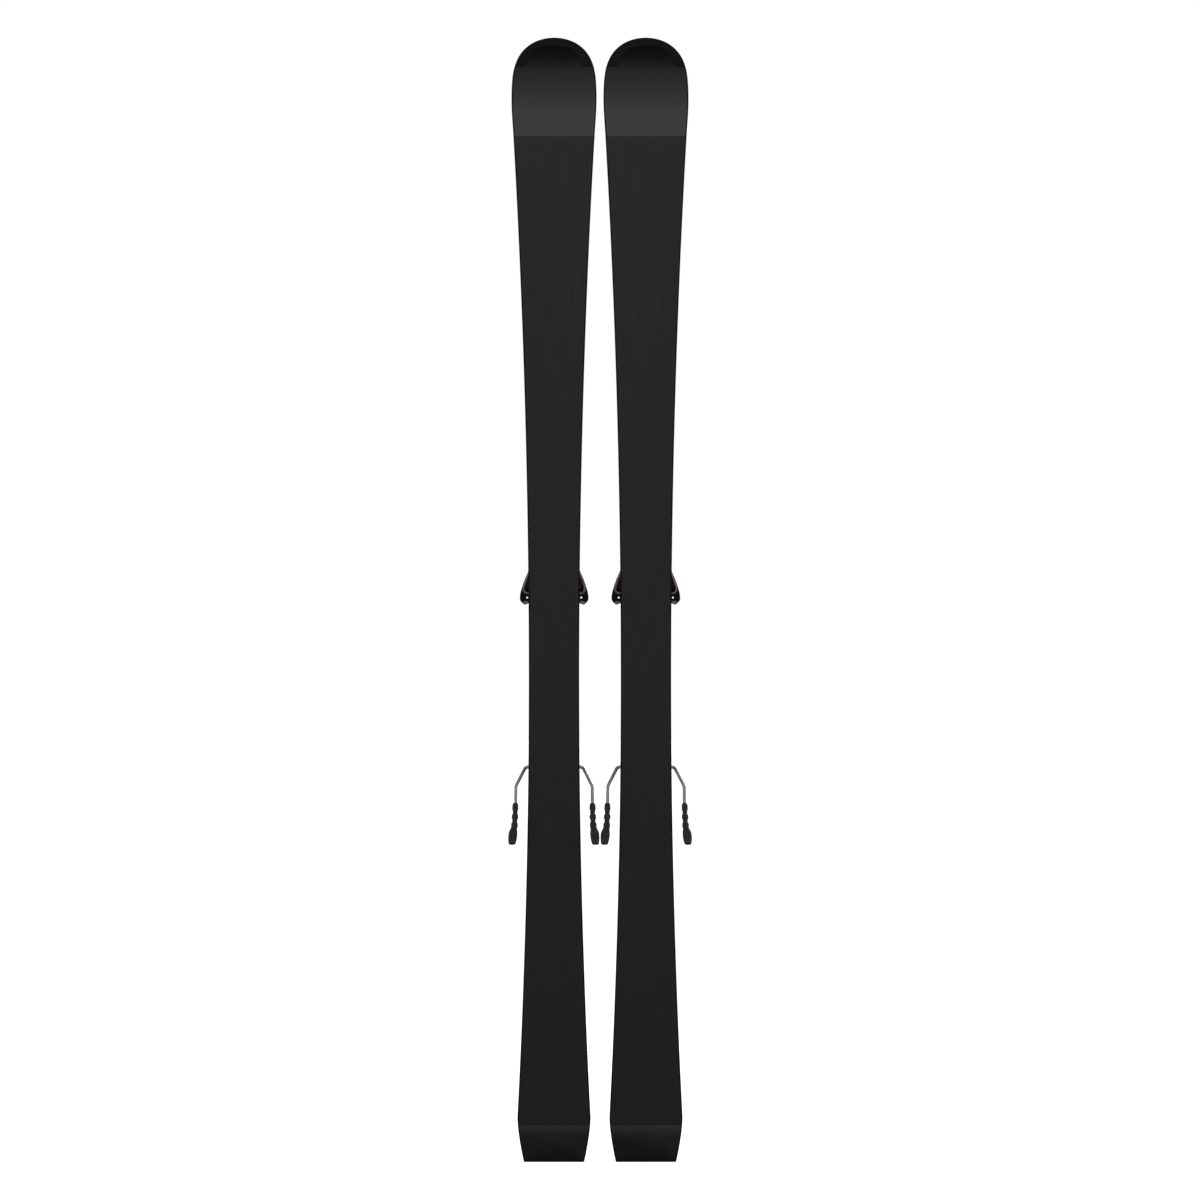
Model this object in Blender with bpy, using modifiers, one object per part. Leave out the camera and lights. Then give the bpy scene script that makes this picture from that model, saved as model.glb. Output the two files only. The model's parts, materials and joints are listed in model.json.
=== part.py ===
"""A pair of alpine skis with step-in bindings, standing upright side by side.

Each ski is drawn in its own frame, in millimetres: x across the ski, y from the tail (0) to the tip,
z up from the plane that the base touches. An empty then stands that frame upright, so that the tails
are at world Z 0, the tips are up, the bases face -Y and the bindings face +Y. World X 0 is midway
between the skis and world Y 0 is the plane of the bases.

At rest the bindings are as a skier leaves them: the heel is open and the brakes are down.
"""

import math

import bmesh
import bpy
from mathutils import Matrix, Vector

MM = 0.001
PAIR_SPACING = 133.0
GAP = 0.3

# Ski outline and profile
LENGTH = 1630.0
TAIL_CONTACT = 53.6
TIP_CONTACT = 1487.7
WAIST_AT = 699.0
WAIST_HALF = 36.4
FRONT_FLARE, FRONT_REACH = 26.0, 846.7
REAR_FLARE, REAR_REACH = 16.9, 640.0
NOSE_START, NOSE_HALF, NOSE_POWER = 1530.0, 61.4, 3.8
NOSE_BLEND = (1490.0, 1560.0)
TAIL_TAPER, TAIL_TAPER_LENGTH, TAIL_TAPER_POWER = 12.9, 66.0, 1.4
CAMBER = 4.0
TIP_RISE = 52.0
TAIL_RISE = 7.0
THICK_TIP, THICK_WAIST, THICK_TAIL = 6.0, 15.5, 7.0
THICK_REGION = (520.0, 930.0)

# Ski layers
BASE_THICK = 1.2
EDGE_HEAD = 2.0
EDGE_HEIGHT = 1.9
FLANGE = 3.5
FLANGE_THICK = 0.4
CORE_BOTTOM = 2.2
TOP_THICK = 0.8
SIDEWALL = 7.7
SIDE_SLOPE = 2.1
TAIL_CAP = 3.0
CAP_LEGS_AT = 1588.0
ARCH_HALF, ARCH_RISE = 42.0, 30.0
CAP_PROUD = 0.6
CAP_CLEAR = 0.5

# Binding datum heights
TRACK_TOP = 26.0
TRACK_HALF = 28.0
TRACK_FOOT_HALF = 24.0
PLATE_TOP = 31.0

# Toe piece
TOE_TRACK = (792.0, 928.0)
TOE_PIVOT = 872.0
POST_RADIUS = 7.0
HUB_RADIUS = 13.0
BARREL = (890.0, 930.0)
BARREL_HALF = 24.0
BARREL_AXIS = 46.0
SPRING_BORE = 9.2
WING_BOTTOM, WING_TOP = 37.0, 59.0
LUG_TOP = 50.5
WING_HOLE = (39.3, 818.5, 1.7)
AFD = (803.0, 843.0)
AFD_HALF = 29.0
AFD_TOP = 31.5

# Heel piece, drawn closed; the open turn lifts its front
HEEL_TRACK = (425.0, 668.0)
HEEL_PIN = (505.0, 46.0)
HEEL_HALF = 30.0
HEEL_OPEN = math.radians(35.0)
COLUMN_HALF = 10.0
PIN_RADIUS = 3.2
HEEL_BORE_Z = 31.0
LEVER_HINGE = (-4.0, 51.0)
LATCH_HINGE = (446.0, 29.5)

# Brake
BRAKE_PIVOT = (30.0, 572.0, 31.0)
BRAKE_DROP = math.radians(40.0)
BRAKE_LEAN = math.radians(12.0)
WIRE_RADIUS = 2.5
CRANK = 36.0
CRANK_RISE = math.radians(45.0)
PEDAL_HINGE = (652.0, 35.5)
PEDAL_LENGTH = 65.0
PEDAL_LIFT = math.radians(24.6)

BLACK_BASE = ("base_black", (0.016, 0.016, 0.016), 0.42, 0.0)
DARK_STEEL = ("edge_steel", (0.10, 0.10, 0.105), 0.35, 1.0)
LAMINATE = ("laminate", (0.10, 0.075, 0.05), 0.7, 0.0)
SIDE_BLACK = ("sidewall_black", (0.012, 0.012, 0.013), 0.45, 0.0)
TOP_BLACK = ("topsheet_black", (0.014, 0.014, 0.016), 0.28, 0.0)
CAP_BLACK = ("cap_black", (0.018, 0.018, 0.018), 0.38, 0.0)
TRACK_GREY = ("track_grey", (0.035, 0.035, 0.038), 0.5, 0.0)
BODY_BLACK = ("binding_black", (0.014, 0.014, 0.015), 0.35, 0.0)
WING_BLACK = ("wing_black", (0.02, 0.02, 0.02), 0.4, 0.0)
LEVER_GREY = ("lever_grey", (0.05, 0.05, 0.055), 0.38, 0.0)
GLIDE_WHITE = ("glide_plate", (0.45, 0.45, 0.45), 0.3, 0.0)
STEEL = ("bright_steel", (0.55, 0.55, 0.56), 0.25, 1.0)
SPRING_STEEL = ("spring_steel", (0.25, 0.25, 0.26), 0.4, 1.0)


# ---------------------------------------------------------------- scene


def clear_scene():
    for obj in list(bpy.data.objects):
        bpy.data.objects.remove(obj)


def new_collection(name):
    collection = bpy.data.collections.new(name)
    bpy.context.scene.collection.children.link(collection)
    return collection


def material(look):
    """The material of that name, made on its first use."""
    name, colour, roughness, metallic = look
    found = bpy.data.materials.get(name)
    if found:
        return found
    made = bpy.data.materials.new(name)
    made.use_nodes = True
    shader = made.node_tree.nodes["Principled BSDF"]
    shader.inputs["Base Color"].default_value = (*colour, 1.0)
    shader.inputs["Roughness"].default_value = roughness
    shader.inputs["Metallic"].default_value = metallic
    return made


class Pivot:
    """An empty on a joint's axis. Its pieces are drawn in ski coordinates and hang from it."""

    def __init__(self, name, origin, parent=None, turn=0.0):
        self.origin = Vector(origin)
        self.empty = bpy.data.objects.new(name, None)
        parts.objects.link(self.empty)
        if parent:
            self.empty.parent = parent.empty
            self.empty.location = (self.origin - parent.origin) * MM
            self.empty.rotation_euler.x = turn

    def hang(self, obj):
        obj.parent = self.empty
        return obj


def place(name, bm, look, pivot, collection=None):
    """Turns a bmesh drawn in ski coordinates into an object hung from a pivot."""
    bmesh.ops.translate(bm, vec=-pivot.origin, verts=bm.verts)
    bmesh.ops.scale(bm, vec=(MM, MM, MM), verts=bm.verts)
    bmesh.ops.recalc_face_normals(bm, faces=bm.faces)
    mesh = bpy.data.meshes.new(name)
    bm.to_mesh(mesh)
    bm.free()
    mesh.shade_smooth()
    mesh.set_sharp_from_angle(angle=math.radians(32))
    obj = bpy.data.objects.new(name, mesh)
    (collection or parts).objects.link(obj)
    if look:
        mesh.materials.append(material(look))
    return pivot.hang(obj)


def bevel(obj, width, segments=1, angle=35.0):
    modifier = obj.modifiers.new("edge_round", "BEVEL")
    modifier.width = width * MM
    modifier.segments = segments
    modifier.limit_method = "ANGLE"
    modifier.angle_limit = math.radians(angle)


def combine(obj, bm, pivot, operation="DIFFERENCE"):
    """Cuts a bmesh from an object, or joins it on."""
    tool = place(obj.name + "_tool", bm, None, pivot, cutters)
    tool.hide_render = True
    tool.display_type = "WIRE"
    modifier = obj.modifiers.new(operation.lower(), "BOOLEAN")
    modifier.operation = operation
    modifier.object = tool


# ---------------------------------------------------------------- shapes


def box(low, high):
    bm = bmesh.new()
    bmesh.ops.create_cube(bm, size=1.0)
    low, high = Vector(low), Vector(high)
    bmesh.ops.scale(bm, vec=high - low, verts=bm.verts)
    bmesh.ops.translate(bm, vec=(low + high) / 2, verts=bm.verts)
    return bm


def cylinder(start, end, radius, sides=24, end_radius=None):
    """A cylinder, or a cone, from one point to another."""
    start, end = Vector(start), Vector(end)
    along = end - start
    bm = bmesh.new()
    bmesh.ops.create_cone(
        bm,
        cap_ends=True,
        segments=sides,
        radius1=radius,
        radius2=radius if end_radius is None else end_radius,
        depth=along.length,
    )
    turn = along.to_track_quat("Z", "Y").to_matrix().to_4x4()
    bmesh.ops.transform(bm, matrix=Matrix.Translation((start + end) / 2) @ turn, verts=bm.verts)
    return bm


def prism(outline, low, high, axis="x"):
    """A flat outline pushed from low to high: (y, z) points along x, or (x, y) points along z."""
    bm = bmesh.new()
    if axis == "x":
        points, push = [(low, a, b) for a, b in outline], Vector((high - low, 0, 0))
    else:
        points, push = [(a, b, low) for a, b in outline], Vector((0, 0, high - low))
    face = bm.faces.new([bm.verts.new(p) for p in points])
    grown = bmesh.ops.extrude_face_region(bm, geom=[face])
    moved = [v for v in grown["geom"] if isinstance(v, bmesh.types.BMVert)]
    bmesh.ops.translate(bm, vec=push, verts=moved)
    return bm


def loft(rings):
    """Skins rings of points, one after another, and closes both ends."""
    bm = bmesh.new()
    rows = [[bm.verts.new(p) for p in ring] for ring in rings]
    count = len(rows[0])
    for near, far in zip(rows, rows[1:]):
        for i in range(count):
            j = (i + 1) % count
            bm.faces.new((near[i], near[j], far[j], far[i]))
    bm.faces.new(rows[0])
    bm.faces.new(rows[-1])
    return bm


def mirrored(outline):
    """The whole outline of a shape whose right half is given, from front to rear, in (x, y)."""
    return outline + [(-x, y) for x, y in reversed(outline) if x]


def arc(centre, radius, start, end, steps):
    """Points on an arc, from one angle to another in degrees."""
    angles = [math.radians(start + (end - start) * i / steps) for i in range(steps + 1)]
    return [(centre[0] + radius * math.cos(a), centre[1] + radius * math.sin(a)) for a in angles]


def rounded_path(corners, radius, steps=4):
    """The corner points joined by straight runs, with each inner corner eased by a curve."""
    corners = [Vector(c) for c in corners]
    path = [corners[0]]
    for before, at, after in zip(corners, corners[1:], corners[2:]):
        reach = min(radius, (before - at).length * 0.45, (after - at).length * 0.45)
        start = at + (before - at).normalized() * reach
        end = at + (after - at).normalized() * reach
        for i in range(steps + 1):
            t = i / steps
            path.append(start * (1 - t) ** 2 + at * (2 * t * (1 - t)) + end * t**2)
    return path + [corners[-1]]


def tube(name, path, radius, look, pivot, resolution=2):
    """A wire along a path of points in ski coordinates."""
    data = bpy.data.curves.new(name, "CURVE")
    data.dimensions = "3D"
    data.bevel_depth = radius * MM
    data.bevel_resolution = resolution
    data.use_fill_caps = True
    spline = data.splines.new("POLY")
    spline.points.add(len(path) - 1)
    for point, at in zip(spline.points, path):
        point.co = (*((Vector(at) - pivot.origin) * MM), 1.0)
    data.materials.append(material(look))
    obj = bpy.data.objects.new(name, data)
    parts.objects.link(obj)
    return pivot.hang(obj)


def helix(start, length, radius, turns, per_turn=7):
    """The centre line of a coil spring along y."""
    x, y, z = start
    steps = turns * per_turn
    turn = [2 * math.pi * i / per_turn for i in range(steps + 1)]
    return [
        (x + radius * math.cos(a), y + length * i / steps, z + radius * math.sin(a))
        for i, a in enumerate(turn)
    ]


def sides(prefix):
    """The names of a ski's two sides with their signs in x: inner faces the other ski."""
    inner = -1 if prefix == "left_" else 1
    return ("inner", inner), ("outer", -inner)


def smooth(value, low, high):
    t = min(1.0, max(0.0, (value - low) / (high - low)))
    return t * t * (3 - 2 * t)


# ---------------------------------------------------------------- the ski's form


def half_width(y):
    """Half the ski's width at y: a sidecut on each side of the waist, a round nose and a cut-in tail."""
    if y < WAIST_AT:
        half = WAIST_HALF + REAR_FLARE * ((WAIST_AT - y) / REAR_REACH) ** 2
    else:
        half = WAIST_HALF + FRONT_FLARE * ((y - WAIST_AT) / FRONT_REACH) ** 2
    if y < TAIL_TAPER_LENGTH:
        half -= TAIL_TAPER * (1 - y / TAIL_TAPER_LENGTH) ** TAIL_TAPER_POWER
    u = min(1.0, max(0.0, (y - NOSE_START) / (LENGTH - NOSE_START)))
    nose = NOSE_HALF * math.sqrt(1 - u**NOSE_POWER)
    share = smooth(y, *NOSE_BLEND)
    return half * (1 - share) + nose * share


def base_height(y):
    """Height of the base at y: camber between the contact points, the shovel and the tail kick."""
    if y > TIP_CONTACT:
        return TIP_RISE * ((y - TIP_CONTACT) / (LENGTH - TIP_CONTACT)) ** 2
    if y < TAIL_CONTACT:
        return TAIL_RISE * ((TAIL_CONTACT - y) / TAIL_CONTACT) ** 2
    middle = (TAIL_CONTACT + TIP_CONTACT) / 2
    s = (y - middle) / (TIP_CONTACT - middle)
    return CAMBER * (1 - s * s) ** 2


def thickness(y):
    low, high = THICK_REGION
    rear = THICK_TAIL + (THICK_WAIST - THICK_TAIL) * smooth(y, 0.0, low)
    front = THICK_TIP + (THICK_WAIST - THICK_TIP) * (1 - smooth(y, high, LENGTH))
    return rear if y < low else front


def top_height(y):
    return base_height(y) + thickness(y)


def arch_half(y):
    """Half the width of the laminate inside the tip cap's arch."""
    u = (y - CAP_LEGS_AT) / ARCH_RISE
    return ARCH_HALF * math.sqrt(max(0.0, 1 - u * u)) - CAP_CLEAR


def stations(end):
    """Where the ski's sections are taken, closer together where it curves."""
    middle = (TAIL_CONTACT + TIP_CONTACT) / 2
    tail = [TAIL_CAP + GAP, 14.0, 25.0, 35.0, 45.0, TAIL_CONTACT]
    half_steps = [40.0, 130.0, 225.0, 325.0, 430.0, 535.0, 635.0]
    body = [middle - d for d in reversed(half_steps)] + [middle + d for d in half_steps]
    shovel = [TIP_CONTACT, 1505.0, 1523.0, 1540.0, 1556.0, 1572.0]
    return [y for y in tail + body + shovel if y < end] + [end]


def strip(section, end, pivot, name, look):
    """A layer of the ski: section gives its (x, height above the base) ring at a station and half width."""
    rings = []
    for y in stations(end):
        foot = base_height(y)
        rings.append([(x, y, foot + z) for x, z in section(y, half_width(y))])
    return place(name, loft(rings), look, pivot)


def layer(bottom, top, inset_low, inset_high, pivot, name, look):
    """A layer that fills the ski's width and goes on inside the tip cap's arch."""
    rings = []

    def ring(y, low_half, high_half):
        foot = base_height(y)
        low, high = foot + bottom(y), foot + top(y)
        return [(-low_half, y, low), (low_half, y, low), (high_half, y, high), (-high_half, y, high)]

    for y in stations(CAP_LEGS_AT - 2 * GAP - 0.4):
        rings.append(ring(y, half_width(y) - inset_low, half_width(y) - inset_high))
    for share in (0.0, 0.35, 0.62, 0.82, 0.93):
        y = CAP_LEGS_AT - 2 * GAP + share * ARCH_RISE
        half = arch_half(y)
        rings.append(ring(y, half, half))
    return place(name, loft(rings), look, pivot)


def build_laminate(prefix, ski):
    """The ski itself: base, steel edges, core, sidewalls, topsheet and the two end caps."""
    layer(lambda y: 0.0, lambda y: BASE_THICK, EDGE_HEAD + GAP, EDGE_HEAD + GAP, ski,
          prefix + "ski_base", BLACK_BASE)
    layer(lambda y: CORE_BOTTOM, lambda y: thickness(y) - TOP_THICK - GAP, SIDEWALL + GAP,
          SIDEWALL + GAP, ski, prefix + "ski_core", LAMINATE)
    layer(lambda y: thickness(y) - TOP_THICK, thickness, SIDE_SLOPE + GAP, SIDE_SLOPE + 1.0, ski,
          prefix + "ski_topsheet", TOP_BLACK)
    for side, sign in sides(prefix):

        def edge(y, half):
            ring = [
                (half, 0.0),
                (half, EDGE_HEIGHT),
                (half - EDGE_HEAD - FLANGE, EDGE_HEIGHT),
                (half - EDGE_HEAD - FLANGE, EDGE_HEIGHT - FLANGE_THICK),
                (half - EDGE_HEAD, EDGE_HEIGHT - FLANGE_THICK),
                (half - EDGE_HEAD, 0.0),
            ]
            return [(sign * x, z) for x, z in ring]

        def wall(y, half):
            high = thickness(y) - TOP_THICK - GAP
            ring = [
                (half - 0.3, CORE_BOTTOM),
                (half - SIDE_SLOPE, high),
                (half - SIDEWALL, high),
                (half - SIDEWALL, CORE_BOTTOM),
            ]
            return [(sign * x, z) for x, z in ring]

        strip(edge, CAP_LEGS_AT - GAP, ski, f"{prefix}edge_{side}", DARK_STEEL)
        strip(wall, CAP_LEGS_AT - GAP, ski, f"{prefix}sidewall_{side}", SIDE_BLACK)
    build_end_caps(prefix, ski)


def build_end_caps(prefix, ski):
    """A crescent round the tip, swept from one leg to the other, and a bar across the tail."""
    start = math.asin(((CAP_LEGS_AT - NOSE_START) / (LENGTH - NOSE_START)) ** (NOSE_POWER / 2))
    steps = 18
    rings = []
    for i in range(steps + 1):
        turn = start + (math.pi - 2 * start) * i / steps
        inner_turn = math.pi * i / steps
        outer_y = NOSE_START + (LENGTH - NOSE_START) * math.sin(turn) ** (2 / NOSE_POWER)
        outer = (NOSE_HALF * math.cos(turn), outer_y)
        inner = (ARCH_HALF * math.cos(inner_turn), CAP_LEGS_AT + ARCH_RISE * math.sin(inner_turn))
        ring = []
        for (x, y), rise in ((outer, 0.4), (inner, 0.0)):
            ring.append((x, y, base_height(y) + rise))
        for (x, y), drop in ((inner, 0.0), (outer, 1.6)):
            ring.append((x, y, top_height(y) + CAP_PROUD - drop))
        rings.append(ring)
    place(prefix + "tip_cap", loft(rings), CAP_BLACK, ski)
    rings = []
    for y, inset in ((0.0, 0.8), (1.0, 0.0), (TAIL_CAP, 0.0)):
        half, foot = half_width(y) - inset, base_height(y)
        low, high = foot + inset / 2, top_height(y) + CAP_PROUD - inset / 2
        rings.append([(-half, y, low), (half, y, low), (half - 2, y, high), (2 - half, y, high)])
    place(prefix + "tail_cap", loft(rings), CAP_BLACK, ski)


# ---------------------------------------------------------------- toe piece


def build_track(name, reach, ski):
    """A rail screwed to the ski. Its underside follows the topsheet and its top is flat."""
    start, end = reach
    rings = []
    steps = 4
    for i in range(steps + 1):
        y = start + (end - start) * i / steps
        foot = top_height(y) + GAP
        neck = TRACK_TOP - 3.0
        rings.append([
            (-TRACK_FOOT_HALF, y, foot),
            (TRACK_FOOT_HALF, y, foot),
            (TRACK_FOOT_HALF, y, neck),
            (TRACK_HALF, y, neck),
            (TRACK_HALF, y, TRACK_TOP),
            (-TRACK_HALF, y, TRACK_TOP),
            (-TRACK_HALF, y, neck),
            (-TRACK_FOOT_HALF, y, neck),
        ])
    return place(name, loft(rings), TRACK_GREY, ski)


def claws(start, end, ski, obj):
    """Joins the two side rails that grip a track onto the plate above it."""
    for sign in (-1, 1):
        outline = [
            (sign * (TRACK_HALF + 3.6), TRACK_TOP + 1.2),
            (sign * (TRACK_HALF + 3.6), TRACK_TOP - 4.6),
            (sign * (TRACK_FOOT_HALF + 0.6), TRACK_TOP - 4.6),
            (sign * (TRACK_FOOT_HALF + 0.6), TRACK_TOP - 3.0 - GAP),
            (sign * (TRACK_HALF + 0.4), TRACK_TOP - 3.0 - GAP),
            (sign * (TRACK_HALF + 0.4), TRACK_TOP + 1.2),
        ]
        rings = [[(x, y, z) for x, z in outline] for y in (start, end)]
        combine(obj, loft(rings), ski, "UNION")


def barrel_ring(y, half, top, shoulder):
    """A section of the toe housing: flat below, round-shouldered above."""
    low = PLATE_TOP - 3.0
    return [
        (half, y, low),
        (half, y, top - shoulder),
        (half - shoulder * 0.35, y, top - shoulder * 0.35),
        (half - shoulder, y, top),
        (shoulder - half, y, top),
        (shoulder * 0.35 - half, y, top - shoulder * 0.35),
        (-half, y, top - shoulder),
        (-half, y, low),
    ]


def build_toe_body(prefix, ski):
    """The toe housing: a plate on the track, a spring barrel in front and the wing's pivot post."""
    plan = mirrored([(0, 938), (14, 937), (22, 932), (27, 920), (31.6, 895), (31.6, 794)])
    body = place(prefix + "toe_body", prism(plan, TRACK_TOP + GAP, PLATE_TOP - 2.8, "z"), BODY_BLACK, ski)
    claws(800.0, 920.0, ski, body)
    deck = mirrored([(0, 938), (14, 937), (22, 932), (27, 920), (30, 895), (30, 848)])
    combine(body, prism(deck, PLATE_TOP - 3.4, PLATE_TOP + 2.0, "z"), ski, "UNION")
    front, rear = BARREL[1], BARREL[0]
    rings = [
        barrel_ring(rear, BARREL_HALF + 2.0, 62.0, 10.0),
        barrel_ring(rear + 18, BARREL_HALF + 1.0, 62.0, 12.0),
        barrel_ring(front - 6, BARREL_HALF - 4.0, 59.0, 14.0),
        barrel_ring(front + 4, BARREL_HALF - 9.0, 54.0, 13.0),
    ]
    combine(body, loft(rings), ski, "UNION")
    seat = cylinder((0, TOE_PIVOT, PLATE_TOP), (0, TOE_PIVOT, WING_BOTTOM - GAP), HUB_RADIUS, 24)
    combine(body, seat, ski, "UNION")
    post = cylinder((0, TOE_PIVOT, PLATE_TOP), (0, TOE_PIVOT, WING_TOP), POST_RADIUS, 20)
    combine(body, post, ski, "UNION")
    head = cylinder((0, TOE_PIVOT, WING_TOP - 1.0), (0, TOE_PIVOT, WING_TOP + 1.5), POST_RADIUS + 3.0, 20)
    combine(body, head, ski, "UNION")
    bore = cylinder((0, rear - 5, BARREL_AXIS), (0, front - 9, BARREL_AXIS), SPRING_BORE, 16)
    combine(body, bore, ski)
    combine(body, box((-4.5, rear + 12, 50), (4.5, rear + 26, 75)), ski)
    mouth = cylinder((0, front - 12, BARREL_AXIS), (0, front + 12, BARREL_AXIS), 6.6, 16)
    combine(body, mouth, ski)
    return body


def build_toe_wing(prefix, wing):
    """The yoke that holds the boot's toe: a hub on the post and a wing along each side of the lug."""
    outer = [(18, 881), (25, 877), (31.5, 870), (37.2, 860), (43.3, 842.5), (46.3, 833.8),
             (48.9, 825), (49.5, 819), (49.0, 815), (46.8, 811.5), (43.6, 808.6), (38.5, 809.4)]
    inner = [(34.2, 811.0), (33.0, 822), (29.5, 834), (21, 843.5), (10, 847.5), (0, 848.5)]
    plan = mirrored([(0, 887.5), (10, 885.2)] + outer + inner)
    yoke = place(prefix + "toe_wing", prism(plan, WING_BOTTOM, WING_TOP, "z"), WING_BLACK, wing)
    slope = prism([(900, 49), (900, 70), (800, 70), (800, 63), (845, 60)], -60, 60)
    combine(yoke, slope, wing)
    shelf = [(0, 851), (12, 850), (23, 846), (32, 837), (36.5, 824), (37.0, 811), (37.0, 780), (0, 780)]
    shelf = mirrored(shelf)
    combine(yoke, prism(shelf, WING_BOTTOM - 5, LUG_TOP, "z"), wing)
    for sign in (-1, 1):
        hx, hy, radius = WING_HOLE
        hole = cylinder((sign * hx, hy, 20), (sign * hx, hy, 80), radius, 12)
        combine(yoke, hole, wing)
        pocket = [(37.5, 827.5), (43.5, 829.5), (44.3, 834), (38.5, 850), (33, 850)]
        pocket = prism([(sign * x, y) for x, y in pocket], WING_BOTTOM - 4, 50.5, "z")
        combine(yoke, pocket, wing)
    bore = cylinder((0, TOE_PIVOT, 20), (0, TOE_PIVOT, 80), POST_RADIUS + GAP, 20)
    combine(yoke, bore, wing)
    return yoke


def build_screw(name, tip, head, radius, pivot, look=STEEL):
    """An adjusting screw along y with a slotted face at its head."""
    screw = place(name, cylinder(tip, head, radius, 16), look, pivot)
    x, y, z = head
    combine(screw, box((x - radius - 1, y - 1.6, z - 0.8), (x + radius + 1, y + 1.6, z + 0.8)), pivot)
    return screw


def build_toe(prefix, ski):
    build_track(prefix + "toe_track", TOE_TRACK, ski)
    build_toe_body(prefix, ski)
    wing = Pivot(prefix + "toe_wing_pivot", (0, TOE_PIVOT, 0), ski)
    build_toe_wing(prefix, wing)
    start, end, z = *BARREL, BARREL_AXIS
    tube(prefix + "toe_spring", helix((0, start + 2.5, z), 14.0, 6.8, 3), 1.3, SPRING_STEEL, ski, 1)
    screw = Pivot(prefix + "toe_screw_pivot", (0, end, z), ski)
    turner = build_screw(prefix + "toe_screw", (0, end - 11, z), (0, end + 4.5, z), 6.2, screw)
    combine(turner, cylinder((0, start + 6, z), (0, end - 9, z), 3.0, 12), screw, "UNION")
    nut = Pivot(prefix + "toe_indicator_slide", (0, start, z), ski)
    pointer = cylinder((0, start + 18.4, z), (0, start + 22.0, z), SPRING_BORE - 0.5, 16)
    pointer = place(prefix + "toe_indicator", pointer, LEVER_GREY, nut)
    combine(pointer, cylinder((0, start, z), (0, end, z), 3.4, 12), nut)
    glide = Pivot(prefix + "glide_pivot", (0, AFD[0], 0), ski)
    slab = box((-AFD_HALF, AFD[0], PLATE_TOP - 2.5), (AFD_HALF, AFD[1], AFD_TOP))
    plate = place(prefix + "glide_plate", slab, GLIDE_WHITE, glide)
    bevel(plate, 0.8)


# ---------------------------------------------------------------- heel piece


def from_pin(outline):
    """Moves (y, z) points measured from the heel pin into ski coordinates."""
    return [(HEEL_PIN[0] + y, HEEL_PIN[1] + z) for y, z in outline]


def build_carriage(prefix, carriage):
    """The heel's sled: a plate on the track, the column that carries the pin, and the latch's ears."""
    plan = [(0, 548), (31.6, 548), (31.6, 470), (27, 450), (20, 447), (20, 436), (16, 434), (16, 449.5)]
    plan = prism(mirrored(plan + [(0, 449.5)]), TRACK_TOP + GAP, PLATE_TOP, "z")
    sled = place(prefix + "heel_carriage", plan, BODY_BLACK, carriage)
    claws(455.0, 545.0, carriage, sled)
    pin = HEEL_PIN
    column = [(pin[0] - 16, PLATE_TOP - 2), (pin[0] - 9, pin[1] + 2)]
    column += arc(pin, 9.0, 165, 15, 6) + [(pin[0] + 9, pin[1] + 2), (pin[0] + 18, PLATE_TOP - 2)]
    combine(sled, prism(column, -COLUMN_HALF, COLUMN_HALF), carriage, "UNION")
    hole = cylinder((-40, *pin), (40, *pin), PIN_RADIUS + GAP, 16)
    combine(sled, hole, carriage)
    return sled


def build_heel_housing(prefix, housing):
    """The heel cup and its spring housing, a fork over the carriage's column."""
    outline = [(0, -14), (10, -13.5), (30, -11), (33, -7), (33, 18), (37, 19.2), (48, 21), (51, 26),
               (49, 33), (38, 43), (22, 48), (5, 50), (-20, 49), (-36, 46), (-46, 39), (-49, 30),
               (-45, 18), (-30, 10), (-17, 5), (-13.2, -4), (-9.5, -10.5)]
    block = prism(from_pin(outline), -HEEL_HALF, HEEL_HALF)
    shell = place(prefix + "heel_housing", block, BODY_BLACK, housing)
    bevel(shell, 3.0, 2, 25.0)
    y, z = HEEL_PIN
    combine(shell, box((-COLUMN_HALF - 1, y - 24, z - 30), (COLUMN_HALF + 1, y + 45, z + 17)), housing)
    combine(shell, cylinder((-40, y, z), (40, y, z), PIN_RADIUS + GAP, 16), housing)
    bore = cylinder((0, y - 60, z + HEEL_BORE_Z), (0, y + 14, z + HEEL_BORE_Z), SPRING_BORE, 16)
    combine(shell, bore, housing)
    ly, lz = y + LEVER_HINGE[0], z + LEVER_HINGE[1]
    combine(shell, cylinder((-22.5, ly, lz), (22.5, ly, lz), 4.6, 16), housing)
    cup = [(x, y + 60 - across) for across, x in arc((0, 0), 36.0, -60, 60, 10)]
    hollow = prism(cup + [(40, y + 80), (-40, y + 80)], z - 9, z + 18.5, "z")
    combine(shell, hollow, housing)
    return shell


def build_lever(prefix, lever):
    """The arm that a pole or a hand presses down to open the heel."""
    outline = [(-2, 53.2), (-2, 57), (-14, 60.5), (-40, 67), (-66, 79), (-84, 88), (-91, 87), (-92, 82),
               (-84, 76), (-62, 62), (-50, 52), (-38, 48.5), (-24, 51.2)]
    arm = place(prefix + "heel_lever", prism(from_pin(outline), -21.5, 21.5), LEVER_GREY, lever)
    bevel(arm, 2.0, 1, 30.0)
    y, z = HEEL_PIN[0] + LEVER_HINGE[0], HEEL_PIN[1] + LEVER_HINGE[1]
    combine(arm, cylinder((-20.5, y, z), (20.5, y, z), 4.0, 16), lever, "UNION")
    floor, rim = from_pin([(-74, 79), (-78, 92)])
    dimple = cylinder((0, *floor), (0, *rim), 7.0, 16, 11.0)
    combine(arm, dimple, lever)
    return arm


def build_latch(prefix, latch):
    """The tongue that locks the carriage into the track's rack."""
    y, z = LATCH_HINGE
    outline = [(y + 2, z - 2.4), (y + 2.2, z + 1.8), (y - 6, z + 3), (y - 26, z + 4.2), (y - 31, z + 2.6)]
    outline += [(y - 28, z + 0.2), (y - 8, z - 2.6)]
    tongue = place(prefix + "length_latch", prism(outline, -14.5, 14.5), LEVER_GREY, latch)
    bevel(tongue, 0.8)
    return tongue


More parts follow.
